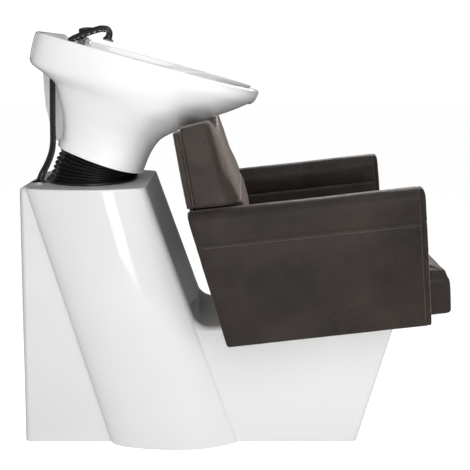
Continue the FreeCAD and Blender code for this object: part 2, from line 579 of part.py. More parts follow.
# slot for the lever's root and its pivot
LIFT_U, LIFT_W = MIX_U - 9.0, CAP0 + 9.0
cap = cap.fuse(box(LIFT_U - 5, LIFT_U + 5, MIX_V - 8, MIX_V - 4.4, CAP0 + 4, LIFT_W + 4)).fuse(box(LIFT_U - 5, LIFT_U + 5, MIX_V + 4.4, MIX_V + 8, CAP0 + 4, LIFT_W + 4))
cap = cap.cut(cyl(V(LIFT_U, MIX_V - 10, LIFT_W), V(0, 1, 0), 2.05, 20))
cap = cap.cut(box(LIFT_U - 7, MIX_U + 25, MIX_V - 4.4, MIX_V + 4.4, CAP0 + 4.5, CAP0 + 30))
keep("mixer_cap", tilt(cap.removeSplitter()))
keep("lever_pivot_pin", tilt(cyl(V(LIFT_U, MIX_V - 7.9, LIFT_W), V(0, 1, 0), 2.0, 15.8)))

# loop lever, rising towards the bowl
LEV_ANG = 24.0
root = cyl(V(0, -4.0, 0), V(0, 1, 0), 3.9, 8.0).fuse(box(0, 14, -4.0, 4.0, -2.2, 2.6))
loop = box(10, 56, -11, 11, -2.6, 3.2)
loop = loop.makeFillet(10.5, [e for e in loop.Edges if abs(e.Vertexes[0].Z - e.Vertexes[1].Z) > 1])
hole = box(18, 50, -6, 6, -10, 10)
hole = hole.makeFillet(5.5, [e for e in hole.Edges if abs(e.Vertexes[0].Z - e.Vertexes[1].Z) > 1])
lever = root.fuse(loop).cut(hole).cut(cyl(V(0, -10, 0), V(0, 1, 0), 2.05, 20))
lever.rotate(V(0, 0, 0), V(0, 1, 0), -LEV_ANG)
lever.translate(V(LIFT_U, MIX_V, LIFT_W + 0.6))
lever.translate(V(0, 0, -0.6))
keep("mixer_lever", tilt(lever.removeSplitter()))

# hand shower resting in its cradle, hose leaving through a guide in the ledge
HS_V = GUIDE_V
HS_PATH = [(GUIDE_U, HS_V, 276.0), (-183.0, HS_V, 299.0), (-158.0, HS_V, 318.0), (-135.0, HS_V, 330.5), (-119.5, HS_V, 326.5), (-119.0, HS_V, 310.0)]
HS_R = 8.0
hs_body = tube(HS_PATH, HS_R, "hand shower")
hs_body = hs_body.fuse(Part.makeSphere(HS_R, V(*HS_PATH[0]))).fuse(cyl(V(GUIDE_U, HS_V, 272.0), V(0, 0, 1), 7.0, 8.0))
head_axis = V(0.5, 0, -16.5)
head_axis.normalize()
hp = V(*HS_PATH[-1])
hs_head = Part.makeCone(9.6, 14.0, 8.0, hp - head_axis * 5.0, head_axis)
hs_body = hs_body.fuse(hs_head).cut(box(GUIDE_U - 20, GUIDE_U + 20, HS_V - 20, HS_V + 20, 260, 273.4))
keep("hand_shower", tilt(hs_body.removeSplitter()))
keep("spray_face", tilt(cyl(hp + head_axis * 3.1, head_axis, 12.8, 3.0)))
keep("shower_tail_nut", tilt(ring(V(GUIDE_U, HS_V, 270.8), V(0, 0, 1), 8.0, HOSE_R + 0.1, 2.4)))
keep("shower_hose_tail", tilt(cyl(V(GUIDE_U, HS_V, 218.0), V(0, 0, 1), HOSE_R, 55.2)))
guide = ring(V(GUIDE_U, GUIDE_V, LEDGE_W + 0.1), V(0, 0, 1), 15.0, HOSE_R + 1.0, 2.2).fuse(ring(V(GUIDE_U, GUIDE_V, LEDGE_W - LEDGE_T - 3), V(0, 0, 1), 10.8, HOSE_R + 1.0, LEDGE_T + 4))
keep("shower_hose_guide", tilt(guide.removeSplitter()))
cradle = box(-191, -171, HS_V - 11, HS_V + 11, LEDGE_W + 0.2, 300.0)
cradle = cradle.makeFillet(4.0, [e for e in cradle.Edges if abs(e.Vertexes[0].Z - e.Vertexes[1].Z) > 1])
saddle = tube(HS_PATH[:3], HS_R + 0.4)
for k in range(5):
    lift = saddle.copy()
    lift.translate(V(0, 0, 5.0 * k))
    cradle = cradle.cut(lift)
cradle = max(cradle.Solids, key=lambda s: s.Volume)
keep("shower_cradle", tilt(cradle))

# ------------------------------------------------------------------ hoses and plumbing
HOSE_PTS = [(-431.2, 990.0), (-435.5, 915.0), (-440.0, 838.0), (-441.5, 778.0), (-459.0, 736.0), (-480.0, 703.0), (-486.0, 666.0)]
for name, (dx, y, gx) in HOSES.items():
    n = len(HOSE_PTS)
    route = []
    for i, (x, z) in enumerate(HOSE_PTS):
        f = max(0.0, (i - 2) / (n - 3))
        route.append((x + dx + (gx - dx) * f, y + (GLAND_Y - y + (-4.0 if dx > 0 else 4.0)) * f * 0.9, z))
    print(name, [tuple(round(c, 1) for c in p) for p in route])
    keep(name, tube(route, HOSE_R, name))

gland = ring(V(GLAND_X, GLAND_Y, COL_TOP_Z + 0.15), V(0, 0, 1), 20.0, 14.0, 3.6)
gland = gland.makeFillet(1.5, [e for e in gland.Edges if abs(e.BoundBox.ZMin - (COL_TOP_Z + 3.75)) < 0.01 and e.BoundBox.XLength > 35])
gland = gland.fuse(ring(V(GLAND_X, GLAND_Y, COL_TOP_Z - 16), V(0, 0, 1), 15.8, 14.0, 17.0))
keep("hose_gland", gland.removeSplitter())

SPIGOT_X = -330.0
wa = at(DRAIN_U, 0, 57.8)
wb = at(DRAIN_U, 0, -30.0)
waste = tube([(wa.x, 0, wa.z), (wb.x, 0, wb.z), (SPIGOT_X - 4, 0, 600.0), (SPIGOT_X, 0, 470.0), (SPIGOT_X, 0.8, 330.0), (SPIGOT_X, 0, 190.0), (SPIGOT_X, 0, 150.0)][:4] + [(SPIGOT_X, 0, 120.2)], WASTE_R - 0.5, "waste_hose")
keep("waste_hose", waste)
spig = ring(V(SPIGOT_X, 0, 14), V(0, 0, 1), WASTE_R, 17.0, 106.0)
spig = spig.fuse(box(SPIGOT_X - 30, SPIGOT_X + 30, -100, 100, FRAME_T + 52, FRAME_T + 56).cut(cyl(V(SPIGOT_X, 0, 0), V(0, 0, 1), 17.0, 200)))
for sy in (-1, 1):
    y0 = -106 if sy < 0 else 100
    spig = spig.fuse(box(SPIGOT_X - 30, SPIGOT_X + 30, y0, y0 + 6, FRAME_T + 0.1, FRAME_T + 56))
    y0 = -110 if sy < 0 else 76
    spig = spig.fuse(box(SPIGOT_X - 30, SPIGOT_X + 30, y0, y0 + 34, FRAME_T + 0.1, FRAME_T + 6))
keep("waste_spigot", spig.removeSplitter())

INLET_X, INLET_Y = -405.0, 42.0
inl = []
for sy in (-1, 1):
    n = cyl(V(INLET_X, sy * INLET_Y, 30), V(0, 0, 1), 12.0, 70).cut(cyl(V(INLET_X, sy * INLET_Y, 29), V(0, 0, 1), 8.0, 19))
    hexa = Part.Face(Part.makePolygon([V(INLET_X + 15 * math.cos(math.radians(60 * i)), sy * INLET_Y + 15 * math.sin(math.radians(60 * i)), 30) for i in range(7)])).extrude(V(0, 0, 14))
    inl.append(n.fuse(hexa.cut(cyl(V(INLET_X, sy * INLET_Y, 20), V(0, 0, 1), 11.0, 40))).removeSplitter())
group("water_inlets", inl)
inb = box(INLET_X - 18, INLET_X + 18, -110, 110, FRAME_T + 52, FRAME_T + 56)
for sy in (-1, 1):
    inb = inb.cut(cyl(V(INLET_X, sy * INLET_Y, 0), V(0, 0, 1), 12.1, 200))
    y0 = -106 if sy < 0 else 100
    inb = inb.fuse(box(INLET_X - 18, INLET_X + 18, y0, y0 + 6, FRAME_T + 0.1, FRAME_T + 56))
    y0 = -110 if sy < 0 else 76
    inb = inb.fuse(box(INLET_X - 18, INLET_X + 18, y0, y0 + 34, FRAME_T + 0.1, FRAME_T + 6))
keep("inlet_bracket", inb.removeSplitter())

for name, sy in (("hot_supply_hose", -1), ("cold_supply_hose", 1)):
    mv = MIX_V + sy * 7.0
    p = [(INLET_X, sy * INLET_Y, 100.3), (INLET_X, sy * INLET_Y, 180.0), (INLET_X + 6, sy * 38.0, 330.0), (INLET_X + 14, sy * 30.0, 470.0), (INLET_X + 28, sy * 20.0, 600.0), (-367.5, sy * 12.0, 680.0)]
    for u, v, w in ((-84.0, sy * 11.0, 10.0), (-122.0, sy * 12.0 + 4.0, 66.0), (-127.0, sy * 10.0 + 20.0, 140.0), (-172.0, mv - 1.0, 200.0), (MIX_U, mv, LEDGE_W - 28.5)):
        q = at(u, v, w)
        p.append((q.x, q.y, q.z))
    keep(name, tube(p, SUPPLY_R, name))

# ------------------------------------------------------------------ chair
TAB_IN, TAB_OUT = 242.3, 244.7
sf = box(30, 405, -113, 113, 0.4, 6.4).fuse(box(80, 405, -TAB_OUT, TAB_OUT, 0.4, 6.4))
for s in (100.0, 385.0):
    for sy in (-1, 1):
        y0, y1 = sorted((sy * TAB_IN, sy * TAB_OUT))
        sf = sf.fuse(box(s - 30, s + 30, y0, y1, 0.4, 62.0))
sf = sf.cut(box(180, 280, -50, 50, 0, 10))
for s, y in SEAT_BOLTS:
    sf = sf.cut(cyl(V(s, y, -5), V(0, 0, 1), 5.5, 20))
# countersunk screws run outwards from the upstands into the arms
ARM_SCREWS = [(s + ds, sy) for s in (100.0, 385.0) for ds in (-16.0, 16.0) for sy in (-1, 1)]
ARM_SCREW_T = 42.0
for s, sy in ARM_SCREWS:
    sf = sf.cut(Part.makeCone(4.8, 2.8, TAB_OUT - TAB_IN, V(s, sy * TAB_IN, ARM_SCREW_T), V(0, sy, 0)))
keep("seat_frame", seat(sf.removeSplitter()))

sb = []
for s, y in SEAT_BOLTS:
    b = cyl(V(s, y, SP_T0 - 10), V(0, 0, 1), 5.0, 16.2 - SP_T0)
    hexa = Part.Face(Part.makePolygon([V(s + 9 * math.cos(math.radians(60 * i)), y + 9 * math.sin(math.radians(60 * i)), SP_T0 - 8) for i in range(7)])).extrude(V(0, 0, 7.8))
    sb.append(seat(b.fuse(hexa)))
group("seat_bolts", sb)

# arms: rounded tops, front edge proud, rear edge along the back
def arm(sign):
    y0, y1 = (-ARM_OUT, -ARM_IN) if sign < 0 else (ARM_IN, ARM_OUT)
    a = prism_xz(ARM_PROFILE, y0, y1)
    across = [e for e in a.Edges if abs(e.Vertexes[0].Y - e.Vertexes[1].Y) > 10]
    low = [e for e in across if abs(e.Vertexes[0].X - ARM_PROFILE[3][0]) < 0.1]
    front = [e for e in across if abs(e.Vertexes[0].X - ARM_PROFILE[1][0]) < 0.1]
    a = a.makeFillet(18.0, low)
    front = [e for e in a.Edges if abs(e.Vertexes[0].Y - e.Vertexes[-1].Y) > 10 and abs(e.Vertexes[0].X - ARM_PROFILE[1][0]) < 0.1]
    a = a.makeFillet(8.0, front)
    top = []
    for e in a.Edges:
        vs = e.Vertexes
        if abs(vs[0].Y - vs[-1].Y) < 0.01 and min(v.Z for v in vs) > 640 and e.BoundBox.XLength > 300:
            top.append(e)
    return a.makeFillet(ARM_TOP_R, top)


for name, sign in (("arm_right", -1), ("arm_left", 1)):
    a = arm(sign)
    for s, sy in ARM_SCREWS:
        if sy == sign:
            a = a.cut(seat(cyl(V(s, sy * (ARM_IN - 2), ARM_SCREW_T), V(0, sy, 0), 2.8, 52.0)))
    keep(name, a)

ascrews = []
for s, sy in ARM_SCREWS:
    b = Part.makeCone(4.6, 2.6, TAB_OUT - TAB_IN - 0.1, V(s, sy * (TAB_IN + 0.1), ARM_SCREW_T), V(0, sy, 0))
    b = b.fuse(cyl(V(s, sy * (TAB_IN + 1.0), ARM_SCREW_T), V(0, sy, 0), 2.5, 47.0))
    ascrews.append(seat(b.cut(cyl(V(s, sy * (TAB_IN - 1.0), ARM_SCREW_T), V(0, sy, 0), 1.5, 2.4))))
group("arm_screws", ascrews)

PAN = (75.0, 520.0, 205.0)
pan = box(PAN[0], PAN[1], -PAN[2], PAN[2], 6.8, 24.8)
for s, y in SEAT_BOLTS:
    pan = pan.cut(cyl(V(s, y, 0), V(0, 0, 1), 10.0, 18))
keep("seat_pan", seat(pan))
cush = box(SEAT_REAR_S, SEAT_FRONT_S, -SEAT_HALF_W, SEAT_HALF_W, SEAT_BOTTOM_T, SEAT_TOP_T)
cush = cush.makeFillet(22.0, [e for e in cush.Edges if min(v.Z for v in e.Vertexes) > SEAT_TOP_T - 1 and min(v.X for v in e.Vertexes) > SEAT_FRONT_S - 1])
cush = cush.cut(box(PAN[0] - 0.4, PAN[1] + 0.4, -PAN[2] - 0.4, PAN[2] + 0.4, 0, 25.2))
keep("seat_cushion", seat(cush))

# back: an upholstered rear panel and a thicker front cushion, both wider above the arms
def shift_front(poly, d):
    out = []
    n = len(poly)
    for i, (x, z) in enumerate(poly):
        a, b = poly[max(0, i - 1)], poly[min(n - 1, i + 1)]
        ln = math.hypot(b[0] - a[0], b[1] - a[1])
        nx, nz = (b[1] - a[1]) / ln, -(b[0] - a[0]) / ln
        out.append((x + nx * d, z + nz * d))
    return out


ARM_TOP_SLOPE = (ARM_PROFILE[1][1] - ARM_PROFILE[0][1]) / (ARM_PROFILE[1][0] - ARM_PROFILE[0][0])


def arm_top(x):
    return ARM_PROFILE[0][1] + (x - ARM_PROFILE[0][0]) * ARM_TOP_SLOPE


def top_line(x):
    (x0, z0), (x1, z1) = BACK_REAR[2], BACK_FRONT[0]
    return z0 + (x - x0) * (z1 - z0) / (x1 - x0)


inner_line = shift_front(BACK_REAR, BACK_PANEL_T)
panel_prof = BACK_REAR + list(reversed(inner_line))
cush_rear = shift_front(BACK_REAR, BACK_PANEL_T + 0.4)
cut_top = prism_xz([(-300, top_line(-300)), (300, top_line(300)), (300, 1300), (-300, 1300)], -400, 400)
cut_wing = prism_xz([(-300, arm_top(-300) + WING_GAP), (300, arm_top(300) + WING_GAP), (300, 0), (-300, 0)], -400, 400)
# saddle: a wide round hollow along the top edge's slope
_sr = (SADDLE_HALF ** 2 + SADDLE_DEPTH ** 2) / (2 * SADDLE_DEPTH)
_sl = (BACK_FRONT[0][1] - BACK_REAR[2][1]) / (BACK_FRONT[0][0] - BACK_REAR[2][0])
_sd = V(1, 0, _sl)
_sd.normalize()
cut_saddle = cyl(V(-300, 0, top_line(-300) + (_sr - SADDLE_DEPTH) / _sd.x), _sd, _sr, 640.0)


def tee(prof):
    mid = prism_xz(prof, -BACK_HALF_W, BACK_HALF_W)
    wing = prism_xz(prof, -BACK_WING, BACK_WING).cut(cut_wing)
    return mid.fuse(wing).cut(cut_top).cut(cut_saddle).removeSplitter()


keep("back_rear_panel", tee(panel_prof))
cush_prof = [(cush_rear[0][0] + (466 - cush_rear[0][1]) * (cush_rear[1][0] - cush_rear[0][0]) / (cush_rear[1][1] - cush_rear[0][1]), 466.0)] + cush_rear[1:] + BACK_FRONT
back = tee(cush_prof)

# flat steel uprights between panel and cushion, standing on the seat frame
ux0, uz0 = inner_line[0]
ux1, uz1 = inner_line[1]
ln = math.hypot(ux1 - ux0, uz1 - uz0)
dx, dz = (ux1 - ux0) / ln, (uz1 - uz0) / ln
nx, nz = dz, -dx
ups, upocket = [], []
for sy in (-1, 1):
    y0 = sy * 90 - 20
    lo, hi = -14.0, 300.0
    q = [(ux0 + dx * lo + nx * 0.6, uz0 + dz * lo + nz * 0.6), (ux0 + dx * hi + nx * 0.6, uz0 + dz * hi + nz * 0.6),
         (ux0 + dx * hi + nx * 6.6, uz0 + dz * hi + nz * 6.6), (ux0 + dx * lo + nx * 6.6, uz0 + dz * lo + nz * 6.6)]
    up1 = prism_xz(q, y0, y0 + 40)
    foot = seat(box(8, 29.6, y0, y0 + 40, 0.4, 6.4))
    up1 = up1.fuse(foot)
    up1 = up1.cut(seat(box(-100, 200, y0 - 1, y0 + 41, -60, 0.4)))
    ups.append(up1.removeSplitter())
    q2 = [(ux0 + dx * (lo - 5) + nx * -0.5, uz0 + dz * (lo - 5) + nz * -0.5), (ux0 + dx * (hi + 3) + nx * -0.5, uz0 + dz * (hi + 3) + nz * -0.5),
          (ux0 + dx * (hi + 3) + nx * 7.2, uz0 + dz * (hi + 3) + nz * 7.2), (ux0 + dx * (lo - 5) + nx * 7.2, uz0 + dz * (lo - 5) + nz * 7.2)]
    back = back.cut(prism_xz(q2, y0 - 1.0, y0 + 41.0))
keep("back_cushion", back)
group("back_uprights", ups)

# ------------------------------------------------------------------ write
for name, shape in PARTS.items():
    shape.exportStep("parts/" + name + ".step")
for name, s in PARTS.items():
    if s.BoundBox.ZMin < -0.01:
        print("below floor:", name, s.BoundBox.ZMin)
lo = [min(s.BoundBox.XMin for s in PARTS.values()), min(s.BoundBox.YMin for s in PARTS.values()), min(s.BoundBox.ZMin for s in PARTS.values())]
hi = [max(s.BoundBox.XMax for s in PARTS.values()), max(s.BoundBox.YMax for s in PARTS.values()), max(s.BoundBox.ZMax for s in PARTS.values())]
print(len(PARTS), "nodes; box", [round(x, 1) for x in lo], [round(x, 1) for x in hi])
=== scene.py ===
import json
import math

import bmesh
import bpy
import numpy as np
from mathutils import Matrix, Vector, noise
from mathutils.bvhtree import BVHTree


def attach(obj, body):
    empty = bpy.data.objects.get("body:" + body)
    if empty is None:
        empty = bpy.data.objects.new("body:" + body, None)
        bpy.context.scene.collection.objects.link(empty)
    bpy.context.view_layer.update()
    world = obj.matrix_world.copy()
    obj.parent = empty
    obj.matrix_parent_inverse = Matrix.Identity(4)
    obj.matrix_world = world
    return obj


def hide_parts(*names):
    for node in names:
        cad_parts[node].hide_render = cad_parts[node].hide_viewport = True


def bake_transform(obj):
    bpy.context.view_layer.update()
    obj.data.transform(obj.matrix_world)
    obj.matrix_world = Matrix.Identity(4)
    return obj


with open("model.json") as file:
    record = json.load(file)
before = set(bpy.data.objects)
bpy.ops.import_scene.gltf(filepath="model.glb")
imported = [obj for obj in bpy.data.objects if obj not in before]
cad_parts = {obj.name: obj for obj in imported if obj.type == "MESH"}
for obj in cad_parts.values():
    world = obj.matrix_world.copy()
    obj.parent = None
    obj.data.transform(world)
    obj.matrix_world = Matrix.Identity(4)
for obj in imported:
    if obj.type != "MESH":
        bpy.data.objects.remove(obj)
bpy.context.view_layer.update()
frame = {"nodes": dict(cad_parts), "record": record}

SCENE = bpy.context.scene


# ------------------------------------------------------------------ helpers
def link(ob):
    SCENE.collection.objects.link(ob)
    return ob


def mesh_obj(name, verts, faces, mats=(), smooth=True):
    me = bpy.data.meshes.new(name)
    me.from_pydata([tuple(float(c) for c in v) for v in verts], [], [tuple(int(i) for i in f) for f in faces])
    me.validate()
    me.update()
    if smooth:
        me.polygons.foreach_set("use_smooth", [True] * len(me.polygons))
    for m in (mats if isinstance(mats, (list, tuple)) else [mats]):
        me.materials.append(m)
    return link(bpy.data.objects.new(name, me))


def coords(me):
    a = np.empty(len(me.vertices) * 3)
    me.vertices.foreach_get("co", a)
    return a.reshape(-1, 3)


def set_coords(me, a):
    me.vertices.foreach_set("co", np.ascontiguousarray(a, dtype=float).ravel())
    me.update()


def normals(me):
    a = np.empty(len(me.vertices) * 3)
    me.vertices.foreach_get("normal", a)
    return a.reshape(-1, 3)


def fix_normals(ob):
    bm = bmesh.new()
    bm.from_mesh(ob.data)
    bmesh.ops.recalc_face_normals(bm, faces=bm.faces)
    bm.to_mesh(ob.data)
    bm.free()


def join(*obs):
    a = obs[0]
    with bpy.context.temp_override(active_object=a, object=a, selected_objects=list(obs), selected_editable_objects=list(obs)):
        bpy.ops.object.join()
    return a


def apply_all(ob):
    """Bakes an object's modifiers into its mesh."""
    dg = bpy.context.evaluated_depsgraph_get()
    me = bpy.data.meshes.new_from_object(ob.evaluated_get(dg))
    old = ob.data
    ob.modifiers.clear()
    ob.data = me
    bpy.data.meshes.remove(old)
    return ob


def grid_faces(rows, cols, wrap_rows=False, wrap_cols=True):
    f = []
    for j in range(rows if wrap_rows else rows - 1):
        for i in range(cols if wrap_cols else cols - 1):
            a, b = j * cols + i, j * cols + (i + 1) % cols
            c, d = ((j + 1) % rows) * cols + (i + 1) % cols, ((j + 1) % rows) * cols + i
            f.append((a, b, c, d))
    return f


def sstep(x, a, b):
    t = np.clip((np.asarray(x, dtype=float) - a) / (b - a), 0.0, 1.0)
    return t * t * (3 - 2 * t)


def smin(a, b, k):
    h = np.clip(0.5 + 0.5 * (b - a) / k, 0.0, 1.0)
    return b + (a - b) * h - k * h * (1 - h)


def hermite(xs, ys, x):
    """Smooth curve through a table, with slopes from the neighbours."""
    xs, ys = np.asarray(xs, float), np.asarray(ys, float)
    d = np.diff(ys) / np.diff(xs)
    m = np.empty_like(ys)
    m[0], m[-1] = d[0], d[-1]
    for i in range(1, len(xs) - 1):
        m[i] = 0.0 if d[i - 1] * d[i] <= 0 else 2 * d[i - 1] * d[i] / (d[i - 1] + d[i])
    x = np.clip(np.asarray(x, float), xs[0], xs[-1])
    i = np.clip(np.searchsorted(xs, x) - 1, 0, len(xs) - 2)
    h = xs[i + 1] - xs[i]
    t = (x - xs[i]) / h
    return ((2 * t ** 3 - 3 * t ** 2 + 1) * ys[i] + (t ** 3 - 2 * t ** 2 + t) * h * m[i]
            + (-2 * t ** 3 + 3 * t ** 2) * ys[i + 1] + (t ** 3 - t ** 2) * h * m[i + 1])


# ------------------------------------------------------------------ materials
def new_mat(name):
    m = bpy.data.materials.new(name)
    m.use_nodes = True
    nt = m.node_tree
    nt.nodes.clear()
    out = nt.nodes.new("ShaderNodeOutputMaterial")
    bs = nt.nodes.new("ShaderNodeBsdfPrincipled")
    nt.links.new(bs.outputs[0], out.inputs[0])
    return m, nt, bs


def node(nt, kind, **props):
    n = nt.nodes.new(kind)
    for k, v in props.items():
        if k in n.inputs:
            n.inputs[k].default_value = v
        else:
            setattr(n, k, v)
    return n


def ramp(nt, fac, stops):
    r = nt.nodes.new("ShaderNodeValToRGB")
    el = r.color_ramp.elements
    while len(el) < len(stops):
        el.new(0.5)
    for e, (p, c) in zip(el, stops):
        e.position = p
        e.color = (c[0], c[1], c[2], 1.0) if isinstance(c, (tuple, list)) else (c, c, c, 1.0)
    nt.links.new(fac, r.inputs[0])
    return r.outputs[0]


def obj_coords(nt, scale=(1, 1, 1), rot=(0, 0, 0)):
    tc = nt.nodes.new("ShaderNodeTexCoord")
    mp = nt.nodes.new("ShaderNodeMapping")
    mp.inputs["Scale"].default_value = scale
    mp.inputs["Rotation"].default_value = rot
    nt.links.new(tc.outputs["Object"], mp.inputs[0])
    return mp.outputs[0]


def noise_tex(nt, vec, scale, detail=3.0, rough=0.55, distortion=0.0):
    n = node(nt, "ShaderNodeTexNoise", Scale=scale, Detail=detail, Roughness=rough, Distortion=distortion)
    nt.links.new(vec, n.inputs["Vector"])
    return n.outputs[0]


def bump(nt, height, strength, dist, normal=None):
    b = node(nt, "ShaderNodeBump", Strength=strength, Distance=dist)
    nt.links.new(height, b.inputs["Height"])
    if normal is not None:
        nt.links.new(normal, b.inputs["Normal"])
    return b.outputs[0]


def white_gloss(name, lo, hi, rough_lo, rough_hi, coat, wave, painted_bowl_shade=None):
    """Polished white: faint colour drift, faint roughness patches and the long ripple of a moulded or glazed face."""
    m, nt, bs = new_mat(name)
    v = obj_coords(nt)
    drift = noise_tex(nt, v, 3.2, 2.0)
    col = ramp(nt, drift, [(0.3, lo), (0.7, hi)])
    if painted_bowl_shade is not None:
        # painted shade: the inside of the bowl takes a darker colour where the attribute marks it
        inside = nt.nodes.new("ShaderNodeAttribute")
        inside.attribute_name = "inside"
        mix = nt.nodes.new("ShaderNodeMix")
        mix.data_type = "RGBA"
        nt.links.new(inside.outputs["Fac"], mix.inputs["Factor"])
        nt.links.new(col, mix.inputs[6])
        mix.inputs[7].default_value = (*painted_bowl_shade, 1.0)
        col = mix.outputs[2]
    nt.links.new(col, bs.inputs["Base Color"])
    patch = noise_tex(nt, v, 26.0, 4.0)
    nt.links.new(ramp(nt, patch, [(0.3, rough_lo), (0.75, rough_hi)]), bs.inputs["Roughness"])
    rip = noise_tex(nt, v, 11.0, 1.0)
    fine = noise_tex(nt, v, 420.0, 2.0)
    b1 = bump(nt, rip, wave, 0.002)
    nt.links.new(bump(nt, fine, 0.015, 0.0004, b1), bs.inputs["Normal"])
    bs.inputs["Coat Weight"].default_value = coat
    bs.inputs["Coat Roughness"].default_value = 0.03
    bs.inputs["IOR"].default_value = 1.5
    return m


def leatherette(name, lo, hi):
    """Coated upholstery: pebble grain, fine crow's-foot creases, cloudy colour."""
    m, nt, bs = new_mat(name)
    v = obj_coords(nt)
    cloud = noise_tex(nt, v, 7.0, 5.0, 0.6, 0.4)
    mid = tuple((a + b) / 2 for a, b in zip(lo, hi))
    col = ramp(nt, cloud, [(0.32, lo), (0.55, mid), (0.72, hi)])
    grain = node(nt, "ShaderNodeTexVoronoi", Scale=620.0, feature="DISTANCE_TO_EDGE")
    warp = nt.nodes.new("ShaderNodeVectorMath")
    warp.operation = "MULTIPLY_ADD"
    wn = node(nt, "ShaderNodeTexNoise", Scale=90.0, Detail=2.0)
    nt.links.new(v, wn.inputs["Vector"])
    nt.links.new(wn.outputs[1], warp.inputs[0])
    warp.inputs[1].default_value = (0.004, 0.004, 0.004)
    nt.links.new(v, warp.inputs[2])
    nt.links.new(warp.outputs[0], grain.inputs["Vector"])
    pebble = ramp(nt, grain.outputs[0], [(0.0, 0.0), (0.18, 0.8), (0.5, 1.0)])
    # creases: long cells lying along the length, broken up by noise
    vx = obj_coords(nt, (0.42, 0.9, 1.35), (0.0, 0.12, 0.0))
    wn2 = node(nt, "ShaderNodeTexNoise", Scale=16.0, Detail=3.0)
    nt.links.new(vx, wn2.inputs["Vector"])
    warp2 = nt.nodes.new("ShaderNodeVectorMath")
    warp2.operation = "MULTIPLY_ADD"
    nt.links.new(wn2.outputs[1], warp2.inputs[0])
    warp2.inputs[1].default_value = (0.022, 0.022, 0.022)
    nt.links.new(vx, warp2.inputs[2])
    cre = node(nt, "ShaderNodeTexVoronoi", Scale=62.0, feature="DISTANCE_TO_EDGE")
    nt.links.new(warp2.outputs[0], cre.inputs["Vector"])
    crease = ramp(nt, cre.outputs[0], [(0.0, 0.0), (0.05, 0.75), (0.16, 1.0)])
    where = ramp(nt, noise_tex(nt, v, 5.5, 2.0), [(0.42, 0.0), (0.62, 1.0)])
    mix = node(nt, "ShaderNodeMix", data_type="FLOAT")
    nt.links.new(where, mix.inputs[0])
    mix.inputs[2].default_value = 1.0
    nt.links.new(crease, mix.inputs[3])
    # creases darkened in colour: painted shade in the crease lines
    crease_painted_shade = node(nt, "ShaderNodeMix", data_type="RGBA", blend_type="MULTIPLY")
    crease_painted_shade.inputs[0].default_value = 0.35
    nt.links.new(col, crease_painted_shade.inputs[6])
    nt.links.new(mix.outputs[0], crease_painted_shade.inputs[7])
    nt.links.new(crease_painted_shade.outputs[2], bs.inputs["Base Color"])
    rr = noise_tex(nt, v, 34.0, 3.0)
    nt.links.new(ramp(nt, rr, [(0.3, 0.36), (0.7, 0.50)]), bs.inputs["Roughness"])
    soft = noise_tex(nt, v, 38.0, 3.0, 0.6)
    b0 = bump(nt, soft, 0.16, 0.004)
    b1 = bump(nt, mix.outputs[0], 0.32, 0.0010, b0)
    b2 = bump(nt, pebble, 0.22, 0.00035, b1)
    nt.links.new(b2, bs.inputs["Normal"])
    bs.inputs["Specular IOR Level"].default_value = 0.24
    bs.inputs["Sheen Weight"].default_value = 0.55
    bs.inputs["Sheen Tint"].default_value = (0.80, 0.66, 0.58, 1.0)
    bs.inputs["Sheen Roughness"].default_value = 0.32
    return m


def plastic(name, lo, hi, r0, r1, grain=900.0, strength=0.08, metallic=0.0, spec=0.5):
    m, nt, bs = new_mat(name)
    v = obj_coords(nt)
    nt.links.new(ramp(nt, noise_tex(nt, v, 30.0, 4.0), [(0.3, lo), (0.7, hi)]), bs.inputs["Base Color"])
    nt.links.new(ramp(nt, noise_tex(nt, v, 55.0, 3.0), [(0.3, r0), (0.7, r1)]), bs.inputs["Roughness"])
    nt.links.new(bump(nt, noise_tex(nt, v, grain, 2.0), strength, 0.0004), bs.inputs["Normal"])
    bs.inputs["Metallic"].default_value = metallic
    bs.inputs["Specular IOR Level"].default_value = spec
    return m


def braided(name):
    m, nt, bs = new_mat(name)
    v = obj_coords(nt)
    w1 = node(nt, "ShaderNodeTexWave", Scale=170.0, Distortion=0.0)
    w1.bands_direction = "DIAGONAL"
    nt.links.new(v, w1.inputs["Vector"])
    nt.links.new(ramp(nt, w1.outputs[1], [(0.2, (0.22, 0.22, 0.23)), (0.8, (0.6, 0.6, 0.62))]), bs.inputs["Base Color"])
    nt.links.new(bump(nt, w1.outputs[1], 0.5, 0.0008), bs.inputs["Normal"])
    bs.inputs["Metallic"].default_value = 0.8
    bs.inputs["Roughness"].default_value = 0.35
    return m


def plywood(name):
    m, nt, bs = new_mat(name)
    v = obj_coords(nt, (6.0, 60.0, 60.0))
    n1 = noise_tex(nt, v, 3.0, 5.0, 0.6, 0.6)
    nt.links.new(ramp(nt, n1, [(0.3, (0.36, 0.23, 0.12)), (0.7, (0.58, 0.41, 0.24))]), bs.inputs["Base Color"])
    nt.links.new(bump(nt, n1, 0.25, 0.0008), bs.inputs["Normal"])
    bs.inputs["Roughness"].default_value = 0.6
    return m


